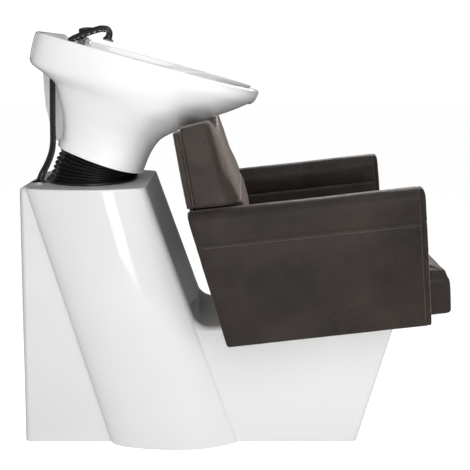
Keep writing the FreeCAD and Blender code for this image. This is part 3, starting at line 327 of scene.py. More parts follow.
M = {
    "moulded_white": white_gloss("moulded_white", (0.718, 0.718, 0.718), (0.747, 0.747, 0.744), 0.07, 0.11, 0.25, 0.03),
    # the last colour is painted shade for the inside of the bowl
    "glazed_white": white_gloss("glazed_white", (0.90, 0.90, 0.90), (0.93, 0.93, 0.927), 0.09, 0.14, 0.6, 0.03, (0.75, 0.75, 0.75)),
    "upholstery_brown": leatherette("upholstery_brown", (0.0150, 0.0110, 0.0090), (0.032, 0.0245, 0.0205)),
    # painted light: a paler copy of the arms' leatherette for the back, standing in for the light the back catches
    "upholstery_back": leatherette("upholstery_back", (0.025, 0.0195, 0.0165), (0.052, 0.042, 0.0365)),
    "rubber_black": plastic("rubber_black", (0.008, 0.008, 0.008), (0.018, 0.018, 0.018), 0.24, 0.36, 700.0, 0.10),
    "boot_black": plastic("boot_black", (0.005, 0.005, 0.005), (0.013, 0.013, 0.013), 0.13, 0.24, 500.0, 0.05),
    "bracket_grey": plastic("bracket_grey", (0.16, 0.16, 0.165), (0.26, 0.26, 0.265), 0.18, 0.28, 900.0, 0.03, 1.0),
    "steel_black": plastic("steel_black", (0.018, 0.018, 0.019), (0.035, 0.035, 0.037), 0.38, 0.5, 1400.0, 0.25),
    "zinc_steel": plastic("zinc_steel", (0.50, 0.50, 0.50), (0.66, 0.66, 0.65), 0.28, 0.42, 1200.0, 0.10, 1.0),
    "chrome": plastic("chrome", (0.74, 0.74, 0.75), (0.84, 0.84, 0.85), 0.05, 0.10, 900.0, 0.01, 1.0),
    "tap_black": plastic("tap_black", (0.006, 0.006, 0.006), (0.014, 0.014, 0.014), 0.20, 0.30, 900.0, 0.04),
    "plywood": plywood("plywood"),
    "nylon": plastic("nylon", (0.62, 0.61, 0.56), (0.74, 0.73, 0.69), 0.4, 0.5),
    "pipe_grey": plastic("pipe_grey", (0.16, 0.165, 0.175), (0.24, 0.245, 0.26), 0.4, 0.5),
    "brass": plastic("brass", (0.58, 0.40, 0.14), (0.70, 0.50, 0.20), 0.22, 0.34, 800.0, 0.05, 1.0),
    "braid": braided("braid"),
    "thread": plastic("thread", (0.10, 0.085, 0.07), (0.16, 0.14, 0.12), 0.5, 0.65, 2600.0, 0.3),
}
SLOT_OF = {s["node"]: s["material_slot"] for s in frame["record"]["subparts"]}
for name, ob in frame["nodes"].items():
    mat = M[SLOT_OF[name]]
    if len(ob.material_slots):
        for sl in ob.material_slots:
            sl.material = mat
    else:
        ob.data.materials.append(mat)


# ------------------------------------------------------------------ camera, floor, light
cam_data = bpy.data.cameras.new("camera")
cam_data.sensor_width = 36.0
cam_data.sensor_fit = "HORIZONTAL"
cam_data.lens = 720.0 / 470.0 * 36.0
cam_data.clip_end = 50.0
cam = link(bpy.data.objects.new("camera", cam_data))
cam.location = (0.019, -1.88258, 1.00464)
cam.rotation_euler = (math.radians(90.0 - 13.961), 0.0, 0.0)
SCENE.camera = cam

SCENE.view_settings.view_transform = "Standard"
SCENE.view_settings.look = "None"
WORLD_BACK, WORLD_FRONT, WORLD_LEFT, WORLD_RIGHT = 0.08, 0.60, 0.50, 1.10
FLOOR_BOUNCE = 0.05

floor_mat, fnt, fbs = new_mat("pale_floor")
ftc = fnt.nodes.new("ShaderNodeTexCoord")
fxyz = fnt.nodes.new("ShaderNodeSeparateXYZ")
fnt.links.new(ftc.outputs["Object"], fxyz.inputs[0])
deep = fnt.nodes.new("ShaderNodeMapRange")
deep.interpolation_type = "SMOOTHSTEP"
for k, v in (("From Min", -0.1), ("From Max", 0.9), ("To Min", 0.90), ("To Max", 0.12)):
    deep.inputs[k].default_value = v
fnt.links.new(fxyz.outputs["Y"], deep.inputs["Value"])
fnt.links.new(deep.outputs[0], fbs.inputs["Base Color"])
fbs.inputs["Roughness"].default_value = 0.85
fbs.inputs["Specular IOR Level"].default_value = 0.1
# the sheet is lit to white for the lens, and throws back less than it shows
fbs.inputs["Emission Color"].default_value = (1.0, 1.0, 1.0, 1.0)
flp = fnt.nodes.new("ShaderNodeLightPath")
fmr = fnt.nodes.new("ShaderNodeMapRange")
fmr.inputs["To Min"].default_value = FLOOR_BOUNCE
fmr.inputs["To Max"].default_value = 0.96
fnt.links.new(flp.outputs["Is Camera Ray"], fmr.inputs["Value"])
fnt.links.new(fmr.outputs[0], fbs.inputs["Emission Strength"])
R = 14.0
floor = mesh_obj("floor", [(-R, -R, -0.0006), (R, -R, -0.0006), (R, R, -0.0006), (-R, R, -0.0006)], [(0, 1, 2, 3)], floor_mat, False)

# studio: the sheet behind is lit to white, the room is bright at the front and dim at the back
world = bpy.data.worlds.new("studio")
SCENE.world = world
world.use_nodes = True
wn = world.node_tree
bg = wn.nodes["Background"]
bg.inputs[0].default_value = (1.0, 1.0, 1.0, 1.0)
wtc = wn.nodes.new("ShaderNodeTexCoord")
wdir = wn.nodes.new("ShaderNodeSeparateXYZ")
wn.links.new(wtc.outputs["Generated"], wdir.inputs[0])
room = wn.nodes.new("ShaderNodeMapRange")
room.interpolation_type = "SMOOTHSTEP"
for k, v in (("From Min", 0.55), ("From Max", -0.75), ("To Min", WORLD_BACK), ("To Max", WORLD_FRONT)):
    room.inputs[k].default_value = v
wn.links.new(wdir.outputs["Y"], room.inputs["Value"])
side = wn.nodes.new("ShaderNodeMapRange")
for k, v in (("From Min", -1.0), ("From Max", 1.0), ("To Min", WORLD_LEFT), ("To Max", WORLD_RIGHT)):
    side.inputs[k].default_value = v
wn.links.new(wdir.outputs["X"], side.inputs["Value"])
prod = wn.nodes.new("ShaderNodeMath")
prod.operation = "MULTIPLY"
wn.links.new(room.outputs[0], prod.inputs[0])
wn.links.new(side.outputs[0], prod.inputs[1])
lp = wn.nodes.new("ShaderNodeLightPath")
pick = wn.nodes.new("ShaderNodeMix")
wn.links.new(lp.outputs["Is Camera Ray"], pick.inputs[0])
wn.links.new(prod.outputs[0], pick.inputs[2])
pick.inputs[3].default_value = 1.05
wn.links.new(pick.outputs[0], bg.inputs[1])


def area(name, loc, target, size, energy, size_y=None, roll=0.0, mirrored_too=True):
    d = bpy.data.lights.new(name, "AREA")
    d.shape = "RECTANGLE"
    d.size = size
    d.size_y = size_y or size
    d.energy = energy
    o = link(bpy.data.objects.new(name, d))
    o.location = loc
    q = (Vector(target) - Vector(loc)).to_track_quat("-Z", "Y")
    o.rotation_euler = (q.to_matrix() @ Matrix.Rotation(roll, 3, "Z")).to_euler()
    o.visible_glossy = mirrored_too
    return o


area("overhead", (0.45, 0.0, 2.5), (0.2, 0.0, 0.5), 2.0, 10.0, 1.8)
area("key", (0.15, -2.0, 1.8), (0.08, 0.0, 0.7), 1.2, 12.0, 0.9)
area("low", (-0.25, -1.9, 0.08), (-0.05, 0.0, 0.95), 1.6, 9.0, 0.5, mirrored_too=False)
area("under", (0.50, -1.15, 0.68), (-0.02, -0.05, 0.94), 0.35, 3.4, 0.4, mirrored_too=False)
area("fill_right", (1.5, -2.5, 0.7), (0.1, 0.0, 0.35), 1.2, 7.0, 1.0, mirrored_too=False)
area("strip", (-0.07, -2.5, 0.41), (-0.07, 0.0, 0.41), 0.44, 4.4, 0.74, roll=-0.16)
area("back_top", (0.95, 2.3, 2.0), (0.25, 0.0, 0.65), 1.8, 28.0, 0.9)
area("rear_left", (-2.6, 1.8, 1.7), (0.0, 0.0, 0.5), 1.2, 3.0)


# ------------------------------------------------------------------ basin frame (u forward, v across, w up; hinge at 0), mm
TILT = math.radians(17.0)
TC, TS = math.cos(TILT), math.sin(TILT)
PX, PZ = -275.0, 716.0


def world_pts(uvw):
    a = np.asarray(uvw, float)
    return np.stack([PX + a[..., 0] * TC + a[..., 2] * TS, a[..., 1], PZ - a[..., 0] * TS + a[..., 2] * TC], -1) / 1000.0


OUTER = np.array([
    (20.0, -170.0, 51.0, 100.0, 0.50), (60.0, -174.0, 56.0, 105.0, 0.55), (97.0, -180.0, 69.0, 121.0, 0.70),
    (142.0, -192.0, 112.0, 153.0, 0.9), (177.0, -204.0, 158.0, 183.0, 1.0), (196.0, -236.0, 185.0, 200.0, 1.0),
    (210.0, -264.0, 203.0, 211.0, 1.0), (222.0, -269.0, 221.0, 219.0, 1.0), (245.0, -269.0, 252.0, 230.0, 1.0),
    (270.0, -268.0, 280.0, 239.0, 1.0), (294.0, -266.0, 288.0, 244.0, 1.0)])
BOWL = np.array([
    (122.0, -82.0, -8.0, 42.0, 0.0), (132.0, -92.0, 30.0, 78.0, 0.0), (152.0, -99.0, 78.0, 118.0, 0.1),
    (184.0, -104.0, 122.0, 157.0, 0.35), (222.0, -109.0, 168.0, 190.0, 0.6), (262.0, -114.0, 218.0, 213.0, 0.85),
    (302.0, -118.0, 272.0, 226.0, 1.0)])
FULL = np.array([(0.0, 0.0), (0.0, 0.35), (0.01, 0.62), (0.075, 0.80), (0.25, 0.93), (0.48, 1.0), (0.70, 0.955),
                 (0.87, 0.76), (0.965, 0.42), (1.0, 0.0)])
OV = np.radians([180, 160, 140, 122, 100, 82, 62, 42, 21, 0])
OVAL = np.stack([(1 + np.cos(OV)) / 2, np.sin(OV)], -1)


def periodic_coeffs(n=18):
    a = np.zeros((n, n))
    for i in range(n):
        a[i, i] = 4 / 6
        a[i, (i - 1) % n] = a[i, (i + 1) % n] = 1 / 6
    return np.linalg.inv(a)


PCI = periodic_coeffs()


def loop18(half):
    return np.concatenate([half, (half[1:-1] * np.array([1, -1]))[::-1]])


FULL_C, OVAL_C = PCI @ loop18(FULL), PCI @ loop18(OVAL)


def eval_loop(c, s):
    i = np.floor(s).astype(int)
    t = (s - i)[:, None]
    p0, p1, p2, p3 = (c[(i + k) % 18] for k in (-1, 0, 1, 2))
    return ((1 - t) ** 3 * p0 + (3 * t ** 3 - 6 * t ** 2 + 4) * p1 + (-3 * t ** 3 + 3 * t ** 2 + 3 * t + 1) * p2 + t ** 3 * p3) / 6


half_s = np.concatenate([np.linspace(0, 1, 26)[:-1], np.linspace(1, 8, 58)[:-1], np.linspace(8, 9, 17)])
COL_S = np.concatenate([half_s, (18 - half_s[1:-1])[::-1]])
NC = len(COL_S)
EV_FULL, EV_OVAL = eval_loop(FULL_C, COL_S), eval_loop(OVAL_C, COL_S)


def section(tab, w, cols=slice(None)):
    """Plan point (u, v) of every column at its own height w."""
    w = np.broadcast_to(np.asarray(w, float), (NC,))
    ur, uf, hw, k = (hermite(tab[:, 0], tab[:, i], w) for i in (1, 2, 3, 4))
    n = EV_OVAL + (EV_FULL - EV_OVAL) * k[:, None]
    return np.stack([ur + (uf - ur) * n[:, 0], hw * n[:, 1]], -1)


RIM, LEDGE_DEEP = 294.0, 16.0
SKIRT_DROP = 0.06


def skirt(u):
    return SKIRT_DROP * (-172.0 - u)


def settle(a, low):
    """Leans the rim up to the front, drops the skirt to the front and flares its rear edge; low is 1 on the skirt."""
    u, v, w = a[..., 0], a[..., 1], a[..., 2]
    fl = 6.0 * (1 - sstep(w, 20, 44)) * (1 - sstep(u, -40, 40)) * low
    du = u + 55.0
    r = np.maximum(np.hypot(du, v), 1.0)
    return np.stack([u + du / r * fl, v + v / r * fl,
                     w + 0.034 * sstep(w, 150, 290) * (u - 110.0) + skirt(u) * (1 - sstep(w, 20, 110)) * low], -1)
DRAIN = np.array([-45.0, 0.0])


def build_basin():
    # rim height of every column: level, with a soft dip for the neck at the front
    wr = np.full(NC, RIM)
    for _ in range(12):
        p = section(OUTER, wr)
        inside = np.clip(75.0 ** 2 - p[:, 1] ** 2, 0.0, None)
        dip = np.where((p[:, 0] > 60) & (np.abs(p[:, 1]) < 75), RIM + 32.0 + 0.10 * (p[:, 0] - 150) - 0.034 * (p[:, 0] - 110) - np.sqrt(inside), RIM + 40.0)
        wr = smin(np.full(NC, RIM), dip, 14.0)
        wr = np.minimum(wr, RIM)
    rows, low = [], []

    def rib(p, w):
        """Rear rib, grown out of the stem under the tap ledge."""
        p = p.copy()
        back = hermite([20, 26, 44, 66, 95, 150, 184, 204, 216], [-172, -194, -204, -213.5, -228.5, -248, -257.5, -260, -261], w)
        on = sstep(w, 20, 30)
        depth = np.clip(p[:, 0] - back, 0, None)
        s = 1 - sstep(np.abs(p[:, 1]), 9.0, 19.0)
        rear = p[:, 0] < -60
        p[:, 0] -= depth * s * on * rear
        return p

    def add(p, w, on_skirt=0.0):
        w = np.broadcast_to(np.asarray(w, float), (NC,))
        rows.append(np.concatenate([p, w[:, None]], 1))
        low.append(on_skirt)

    r1 = 6.0
    # bottom ring and outer skin
    add(section(OUTER, 20.0), 20.0, 1.0)
    for f in np.concatenate([[0.004, 0.012], np.linspace(0.03, 1.0, 56)]):
        w = 20.0 + (wr - r1 - 20.0) * f
        add(rib(section(OUTER, w), w), w, 1.0)
    O = section(OUTER, wr)
    # lip, ledge step, ledge and the rounded edge of the bowl
    def levels(drop):
        return section(BOWL, wr - drop)
    B0 = levels(0.0)
    D = np.linalg.norm(B0 - O, axis=1)
    g = sstep(D, 34.0, 84.0)
    deep = LEDGE_DEEP * g
    B = section(BOWL, wr - deep)
    D = np.linalg.norm(B - O, axis=1)
    dirn = (B - O) / D[:, None]
    r3 = np.minimum(10.0 + 3.0 * g, 0.45 * D)
    lip = np.minimum(15.0, D - r3 - 1.0)
    room = np.clip(D - r3 - lip, 0.5, None)
    step = np.minimum(9.0, room * 0.8)
    for a in np.radians([18, 36, 54, 72, 90]):
        add(O + dirn * (r1 * (1 - np.cos(a))), wr - r1 + r1 * np.sin(a))
    for f in (0.5, 1.0):
        add(O + dirn * (r1 + (lip - 2 - r1) * f)[:, None], wr)
    for f in np.linspace(0.12, 1.0, 8):
        e = f * f * (3 - 2 * f)
        add(O + dirn * (lip - 2 + (step + 2) * f)[:, None], wr - deep * e)
    d0 = lip + step
    for f in np.linspace(0.15, 1.0, 8):
        add(O + dirn * (d0 + (D - r3 - d0) * f)[:, None], wr - deep)
    for a in np.radians([15, 30, 45, 60, 75]):
        add(O + dirn * (D - r3 + r3 * np.sin(a))[:, None], wr - deep - r3 * (1 - np.cos(a)))
    # bowl wall
    first_in = len(rows)
    w0 = wr - deep - r3
    for f in np.linspace(0.0, 1.0, 34):
        w = w0 + (122.6 - w0) * (f ** 0.9)
        add(section(BOWL, w), w)
    foot = section(BOWL, 122.0)
    ang = np.arctan2(foot[:, 1], foot[:, 0] - DRAIN[0])
    hole = DRAIN + 22.0 * np.stack([np.cos(ang), np.sin(ang)], -1)
    for f in (0.10, 0.3, 0.6, 0.9, 1.0):
        add(foot + (hole - foot) * f, 122.0 - 0.6 * f)
    add(hole, 119.0)
    add(hole, 108.0)
    last_in = len(rows)
    # hollow: under the bowl, up between the walls, down inside the stem
    under = DRAIN + 30.0 * np.stack([np.cos(ang), np.sin(ang)], -1)
    add(under, 107.4)
    top_w = np.minimum(wr - deep - 20.0, 262.0)
    lev = np.linspace(0, 1, 14)
    for f in lev:
        w = 124.0 + (top_w - 124.0) * f
        o, b = section(OUTER, w), section(BOWL, w)
        dd = np.linalg.norm(o - b, axis=1)
        add(b + (o - b) * np.minimum(0.42, 14.0 / dd)[:, None], w - 13.0 * (1 - f))
    for f in lev[::-1]:
        w = 124.0 + (top_w - 124.0) * f
        o, b = section(OUTER, w), section(BOWL, w)
        dd = np.linalg.norm(o - b, axis=1)
        add(o + (b - o) * np.minimum(0.42, 14.0 / dd)[:, None], w - 3.0)
    # seat face on the carrier's gasket, then the thin skirt round it
    mid = np.array([-50.0, 0.0])
    for w in (100.0, 75.0, 50.0, 34.0, 23.0):
        o = section(OUTER, w)
        add(mid + (o - mid) * 0.84, w)
    o = section(OUTER, 20.0)
    add(mid + (o - mid) * 0.845, 20.6)
    add(mid + (o - mid) * 0.86, 20.2)
    add(mid + (o - mid) * 0.955, 20.2)
    add(mid + (o - mid) * 0.965, 20.15, 0.15)
    add(mid + (o - mid) * 0.967, 20.0, 0.93)
    add(mid + (o - mid) * 0.985, 20.0, 1.0)
    uvw = settle(np.array(rows), np.array(low)[:, None])
    nr = len(rows)
    ob = mesh_obj("basin_shell", world_pts(uvw.reshape(-1, 3)), grid_faces(nr, NC, True, True), M["glazed_white"])
    # painted shade: the bowl's inside rows are marked for the darker colour, blending in over the rim's inner edge
    inside = np.zeros((nr, NC))
    inside[first_in:last_in] = 1.0
    inside[first_in - 2:first_in] = [[0.3], [0.75]]
    at = ob.data.attributes.new("inside", "FLOAT", "POINT")
    at.data.foreach_set("value", inside.ravel().astype(np.float32))
    fix_normals(ob)
    return ob


basin = build_basin()
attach(basin, "basin")
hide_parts("basin")


# ------------------------------------------------------------------ hoses
def nurbs_points(name, route, res=24):
    """Points along the smooth line that a route's points control."""
    cu = bpy.data.curves.new(name, "CURVE")
    cu.dimensions = "3D"
    sp = cu.splines.new("NURBS")
    sp.points.add(len(route) - 1)
    for p, q in zip(sp.points, route):
        p.co = (q[0], q[1], q[2], 1.0)
    sp.order_u = 3
    sp.use_endpoint_u = True
    sp.resolution_u = res
    cu.resolution_u = res
    ob = link(bpy.data.objects.new(name, cu))
    dg = bpy.context.evaluated_depsgraph_get()
    me = bpy.data.meshes.new_from_object(ob.evaluated_get(dg))
    pts = coords(me)
    bpy.data.objects.remove(ob)
    bpy.data.curves.remove(cu)
    bpy.data.meshes.remove(me)
    return pts


def tube_mesh(name, pts, radius, mat, sides=16, ring=None):
    """Round tube along points; ring(f) gives the radius factor along it."""
    pts = np.asarray(pts, float)
    n = len(pts)
    tan = np.gradient(pts, axis=0)
    tan /= np.linalg.norm(tan, axis=1)[:, None]
    ref = np.array([0.0, 1.0, 0.0])
    verts = []
    nrm = np.cross(tan[0], ref)
    nrm /= np.linalg.norm(nrm)
    for k in range(n):
        nrm = nrm - tan[k] * nrm.dot(tan[k])
        nrm /= np.linalg.norm(nrm)
        bi = np.cross(tan[k], nrm)
        r = radius * (ring(k / (n - 1)) if ring else 1.0)
        for i in range(sides):
            a = 2 * math.pi * i / sides
            verts.append(pts[k] + r * (math.cos(a) * nrm + math.sin(a) * bi))
    faces = grid_faces(n, sides)
    faces += [tuple(range(sides))[::-1], tuple((n - 1) * sides + i for i in range(sides))]
    ob = mesh_obj(name, verts, faces, mat)
    fix_normals(ob)
    return ob


HOSE_D = 0.0084
ROUTES = {
    "shower_hose_feed": [(-435.2, -52.0, 990.0), (-439.5, -52.0, 915.0), (-444.0, -52.0, 838.0), (-446.1, -53.6, 778.0), (-464.2, -55.1, 736.0), (-485.9, -56.7, 703.0), (-492.5, -58.3, 666.0)],
    "shower_hose_return": [(-426.2, -65.0, 990.0), (-430.5, -65.0, 915.0), (-435.0, -65.0, 838.0), (-436.1, -65.5, 778.0), (-453.2, -65.9, 736.0), (-473.9, -66.3, 703.0), (-479.5, -66.8, 666.0)],
}
for nm, route in ROUTES.items():
    pts = nurbs_points(nm + "_line", [tuple(c / 1000 for c in p) for p in route])
    pts = pts[::-1]          # from the gland in the base up to the basin
    hose = tube_mesh(nm + "_tube", pts, HOSE_D / 2, M["rubber_black"])
    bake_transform(hose)
    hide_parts(nm)


def bend_line(points, gap=7.0):
    """Straight runs joined by tangent arcs, each arc as large as its runs allow, as evenly spaced points."""
    pts = [np.array(q, float) for q in points]
    out, here = [], pts[0]

    def run(a, b):
        k = max(1, int(np.linalg.norm(b - a) / gap))
        out.extend(a + (b - a) * i / k for i in range(k))

    for a, b, c in zip(pts, pts[1:], pts[2:]):
        d0, d1 = b - a, c - b
        l0, l1 = np.linalg.norm(d0), np.linalg.norm(d1)
        d0, d1 = d0 / l0, d1 / l1
        back = 0.45 * min(l0, l1)
        s, e = b - d0 * back, b + d1 * back
        run(here, s)
        k = max(3, int(2 * back / gap))
        for i in range(k):
            f = i / k
            out.append((1 - f) ** 2 * s + 2 * f * (1 - f) * b + f * f * e)
        here = e
    run(here, pts[-1])
    out.append(pts[-1])
    return np.array(out) / 1000


# hoses inside the column and the stem: their upper ends are laid out in the basin's frame
def in_basin(u, v, w):
    return tuple(world_pts(np.array([[u, v, w]]))[0] * 1000)


INSIDE = {"waste_hose": ([(-330.0, 0.0, 120.2), (-330.0, 0.0, 470.0), (-334.0, 0.0, 600.0), in_basin(-45.0, 0.0, -30.0), in_basin(-45.0, 0.0, 57.8)],
                         0.0195, "pipe_grey")}
for nm, sy in (("hot_supply_hose", -1), ("cold_supply_hose", 1)):
    mv = 45.0 + sy * 7.0
    INSIDE[nm] = ([(-405.0, sy * 42.0, 100.3), (-405.0, sy * 42.0, 180.0), (-399.0, sy * 38.0, 330.0), (-391.0, sy * 30.0, 470.0),
                   (-377.0, sy * 20.0, 600.0), (-367.5, sy * 12.0, 680.0), in_basin(-84.0, sy * 11.0, 10.0), in_basin(-122.0, sy * 12.0 + 4.0, 66.0),
                   in_basin(-127.0, sy * 10.0 + 20.0, 140.0), in_basin(-172.0, mv - 1.0, 200.0), in_basin(-190.0, mv, 239.5)], 0.005, "braid")
for nm, (route, radius, mat) in INSIDE.items():
    hose = tube_mesh(nm + "_tube", bend_line(route), radius, M[mat], 20)
    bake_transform(hose)
    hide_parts(nm)


# ------------------------------------------------------------------ tap
HS_V, LIFT = -14.0, (-199.0, 45.0, 294.5)
HANDLE = np.array([(-210.0, 274.5), (-206.5, 280.5), (-196.0, 289.5), (-180.0, 302.0), (-158.0, 318.0), (-139.0, 328.6), (-128.0, 330.6),
                   (-121.0, 326.5), (-118.8, 318.0), (-118.9, 311.0), (-118.8, 307.2)])


def handle_point(f):
    k = np.linspace(0, 1, len(HANDLE))
    return np.stack([hermite(k, HANDLE[:, 0], f), np.full_like(f, HS_V), hermite(k, HANDLE[:, 1], f)], -1)


def handle_radius(f):
    return float(hermite([0, 0.1, 0.3, 0.5, 0.7, 0.82, 0.9, 0.97, 1.0], [6.8, 7.4, 8.0, 8.2, 8.0, 8.3, 10.6, 13.6, 13.9], f))


def build_handle():
    ob = tube_mesh("hand_shower_handle", world_pts(handle_point(np.linspace(0, 1, 96))), 0.001, M["tap_black"], 28, handle_radius)
    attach(ob, "hand_shower")
    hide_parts("hand_shower")
    # row of bright studs let into the side of the handle
    studs = []
    for f in np.linspace(0.17, 0.70, 10):
        q = handle_point(np.array([f - 0.012, f - 0.006, f, f + 0.006, f + 0.012]))
        d = q[-1] - q[0]
        d /= np.linalg.norm(d)
        down = np.array([d[2], 0.0, -d[0]])
        q = q + handle_radius(f) * (0.86 * np.array([0.0, -1.0, 0.0]) + 0.50 * down)
        studs.append(tube_mesh("stud", world_pts(q), 0.0011, M["chrome"], 10, lambda g: 0.55 + 0.45 * math.sin(math.pi * g)))
    st = join(*studs)
    st.name = "hand_shower_studs"
    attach(st, "hand_shower")


def build_lever():
    """Loop lever: a closed ring of rod over the cap, on a short root."""
    n, k, rise, roll = 64, 16, math.radians(17.0), math.tan(math.radians(24.0))
    a = np.linspace(0, 2 * math.pi, n, endpoint=False)
    line = np.stack([20.0 * np.cos(a), 9.0 * np.sin(a), np.zeros(n)], -1)
    tan = np.roll(line, -1, 0) - np.roll(line, 1, 0)
    tan /= np.linalg.norm(tan, axis=1)[:, None]
    side = np.stack([tan[:, 1], -tan[:, 0], np.zeros(n)], -1)
    b = np.linspace(0, 2 * math.pi, k, endpoint=False)
    ring = (line[:, None, :] + 3.3 * (np.cos(b)[None, :, None] * side[:, None, :] + np.sin(b)[None, :, None] * np.array([0.0, 0.0, 1.0]))).reshape(-1, 3)
    x, y, z = ring[:, 0], ring[:, 1], ring[:, 2] + roll * ring[:, 1]
    ring = np.stack([14.0 + x * math.cos(rise) - z * math.sin(rise), y, 18.5 + x * math.sin(rise) + z * math.cos(rise)], -1)
    loop = mesh_obj("loop", world_pts(ring + np.array(LIFT)), grid_faces(n, k, True, True), M["tap_black"])
    fix_normals(loop)
    f = np.linspace(0, 1, 10)
    root = np.stack([-5.2 * f ** 1.3, np.zeros(10), -1.0 + 13.6 * f], -1)
    root = tube_mesh("root", world_pts(root + np.array(LIFT)), 0.0037, M["tap_black"], 16)
    ob = join(loop, root)
    ob.name = "mixer_lever_loop"
    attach(ob, "mixer_lever")
    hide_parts("mixer_lever")


def build_cradle():
    """Short stand under the handle, its top along the handle's underside."""
    pts = [(-190.5, -8.5, 268.3), (-171.5, -8.5, 268.8), (-171.5, 8.5, 268.8), (-190.5, 8.5, 268.3),
           (-190.5, -8.5, 283.0), (-171.5, -8.5, 297.0), (-171.5, 8.5, 297.0), (-190.5, 8.5, 283.0)]
    ob = mesh_obj("shower_stand", world_pts(np.array(pts) + np.array([0.0, HS_V, 0.0])),
                  [(3, 2, 1, 0), (4, 5, 6, 7), (0, 1, 5, 4), (1, 2, 6, 5), (2, 3, 7, 6), (3, 0, 4, 7)], M["bracket_grey"])
    bv = ob.modifiers.new("bevel", "BEVEL")
    bv.width, bv.segments = 0.0022, 4
    apply_all(ob)
    fix_normals(ob)
    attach(ob, "basin")
    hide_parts("shower_cradle")


build_handle()
build_lever()
build_cradle()


# ------------------------------------------------------------------ bellows
def build_bellows():
    n, per, ribs = 132, 10, 7
    th = np.linspace(0, 2 * math.pi, n, endpoint=False)
    low = np.stack([-357.0 + 107.0 * np.cos(th), 107.0 * np.sin(th), np.full(n, 697.0)], -1) / 1000

    def oval(a, b, w):
        u = -60.0 + a * np.cos(th)
        return world_pts(np.stack([u, b * np.sin(th), w + skirt(u)], -1))

    up = oval(101.0, 91.0, 16.6)
    out = np.stack([np.cos(th), np.sin(th), np.zeros(n)], -1)
    rows = []

    def lip(r, z):
        rows.append(np.stack([-357.0 + r * np.cos(th), r * np.sin(th), np.full(n, z)], -1) / 1000)

    def drift(z, k):
        return np.array([noise.noise((math.cos(x) * k, math.sin(x) * k, z)) for x in th])

    # foot flange on the column top
    for r, z in ((104.0, 690.4), (114.0, 690.3), (117.6, 690.6), (118.0, 692.5), (117.2, 695.2), (115.0, 696.6), (112.0, 697.2)):
        lip(r, z)
    m = ribs * per
    for j in range(m + 1):
        f = j / m
        ph = (j % per) / per
        # folds lie unevenly: some bulge more, and they sag and wander a little round the boot
        uneven = 1 + 0.55 * drift(5.0 + 2.7 * math.floor(j / per + 1e-6), 1.3)
        tri = 1 - abs(2 * ph - 1)
        swell = (8.5 * tri ** 0.7) * uneven - 1.5
        fj = np.clip(f + 0.045 * drift(11.0 + 3.0 * f, 1.7) * math.sin(math.pi * f), 0, 1)[:, None]
        rows.append(low * (1 - fj) + up * fj + out * (swell / 1000)[:, None])
    # collar under the basin's skirt
    for du, dw in ((101.5, 16.8), (104.5, 17.2), (106.0, 18.2), (105.5, 19.2), (102.5, 19.5)):
        rows.append(oval(du, du - 9.0, dw))
    # inner wall
    base = np.stack([-357.0 + 103.0 * np.cos(th), 103.0 * np.sin(th), np.full(n, 690.8)], -1) / 1000
    top = oval(97.0, 87.0, 15.5)
    for f in np.linspace(0, 1, 8)[::-1]:
        rows.append(base * (1 - f) + top * f)
    a = np.array(rows)
    ob = mesh_obj("bellows_boot", a.reshape(-1, 3), grid_faces(len(rows), n, True, True), M["boot_black"])
    fix_normals(ob)
    return ob


bel = build_bellows()
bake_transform(bel)
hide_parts("bellows")


# ------------------------------------------------------------------ upholstery
def apply_mod(ob, md):
    with bpy.context.temp_override(object=ob, active_object=ob, selected_objects=[ob]):
        bpy.ops.object.modifier_apply(modifier=md.name)


def subdivide(ob):
    md = ob.modifiers.new("smooth", "SUBSURF")
    md.levels = md.render_levels = 1
    apply_mod(ob, md)


def group_weights(ob, name):
    me = ob.data
    out = np.zeros(len(me.vertices))
    if name not in ob.vertex_groups:
        return out
    gi = ob.vertex_groups[name].index
    for v in me.vertices:
        for g in v.groups:
            if g.group == gi:
                out[v.index] = g.weight
    return out


def spread(length, edge, pitch, extra=()):
    """Fractions along a side: a support row near both ends, even rows between, and rows hugging each seam."""
    n = max(2, int(round((length - 2 * edge) / pitch)))
    f = [0.0] + list(np.linspace(edge, length - edge, n + 1) / length) + [1.0]
    for x in extra:
        f = [q for q in f if abs(q - x) * length > 6.5 or q in (0.0, 1.0)]
        f += [x - 3.2 / length, x, x + 3.2 / length]
    return sorted(f)


def loft_pad(name, rings, n, m, mat):
    """Closed pad: rings of 2 (n + m) points from end to end, each end filled with an even grid."""
    rings = np.asarray(rings, float)
    K, N = rings.shape[:2]
    verts = list(rings.reshape(-1, 3))
    faces = grid_faces(K, N, False, True)
    caps = []
    for r in (0, K - 1):
        L = rings[r]
        idx = -np.ones((n + 1, m + 1), int)
        for i in range(n + 1):
            idx[i, 0], idx[i, m] = r * N + i, r * N + 2 * n + m - i
        for j in range(m + 1):
            idx[n, j], idx[0, j] = r * N + n + j, r * N + (2 * n + 2 * m - j) % N
        A, C = L[:n + 1], L[n + m:2 * n + m + 1][::-1]
        B, D = L[n:n + m + 1], np.concatenate([L[2 * n + m:], L[:1]])[::-1]
        sa = np.concatenate([[0], np.cumsum(np.linalg.norm(np.diff(A, axis=0), axis=1))])
        sb = np.concatenate([[0], np.cumsum(np.linalg.norm(np.diff(B, axis=0), axis=1))])
        sa, sb = sa / sa[-1], sb / sb[-1]
        for i in range(1, n):
            for j in range(1, m):
                s, t = sa[i], sb[j]
                p = ((1 - t) * A[i] + t * C[i] + (1 - s) * D[j] + s * B[j]
                     - ((1 - s) * (1 - t) * A[0] + s * (1 - t) * A[n] + (1 - s) * t * C[0] + s * t * C[n]))
                idx[i, j] = len(verts)
                verts.append(p)
        for i in range(n):
            for j in range(m):
                faces.append((idx[i, j], idx[i + 1, j], idx[i + 1, j + 1], idx[i, j + 1]))
        caps.append(idx)
    ob = mesh_obj(name, np.asarray(verts) / 1000.0, faces, mat)
    fix_normals(ob)
    return ob, caps


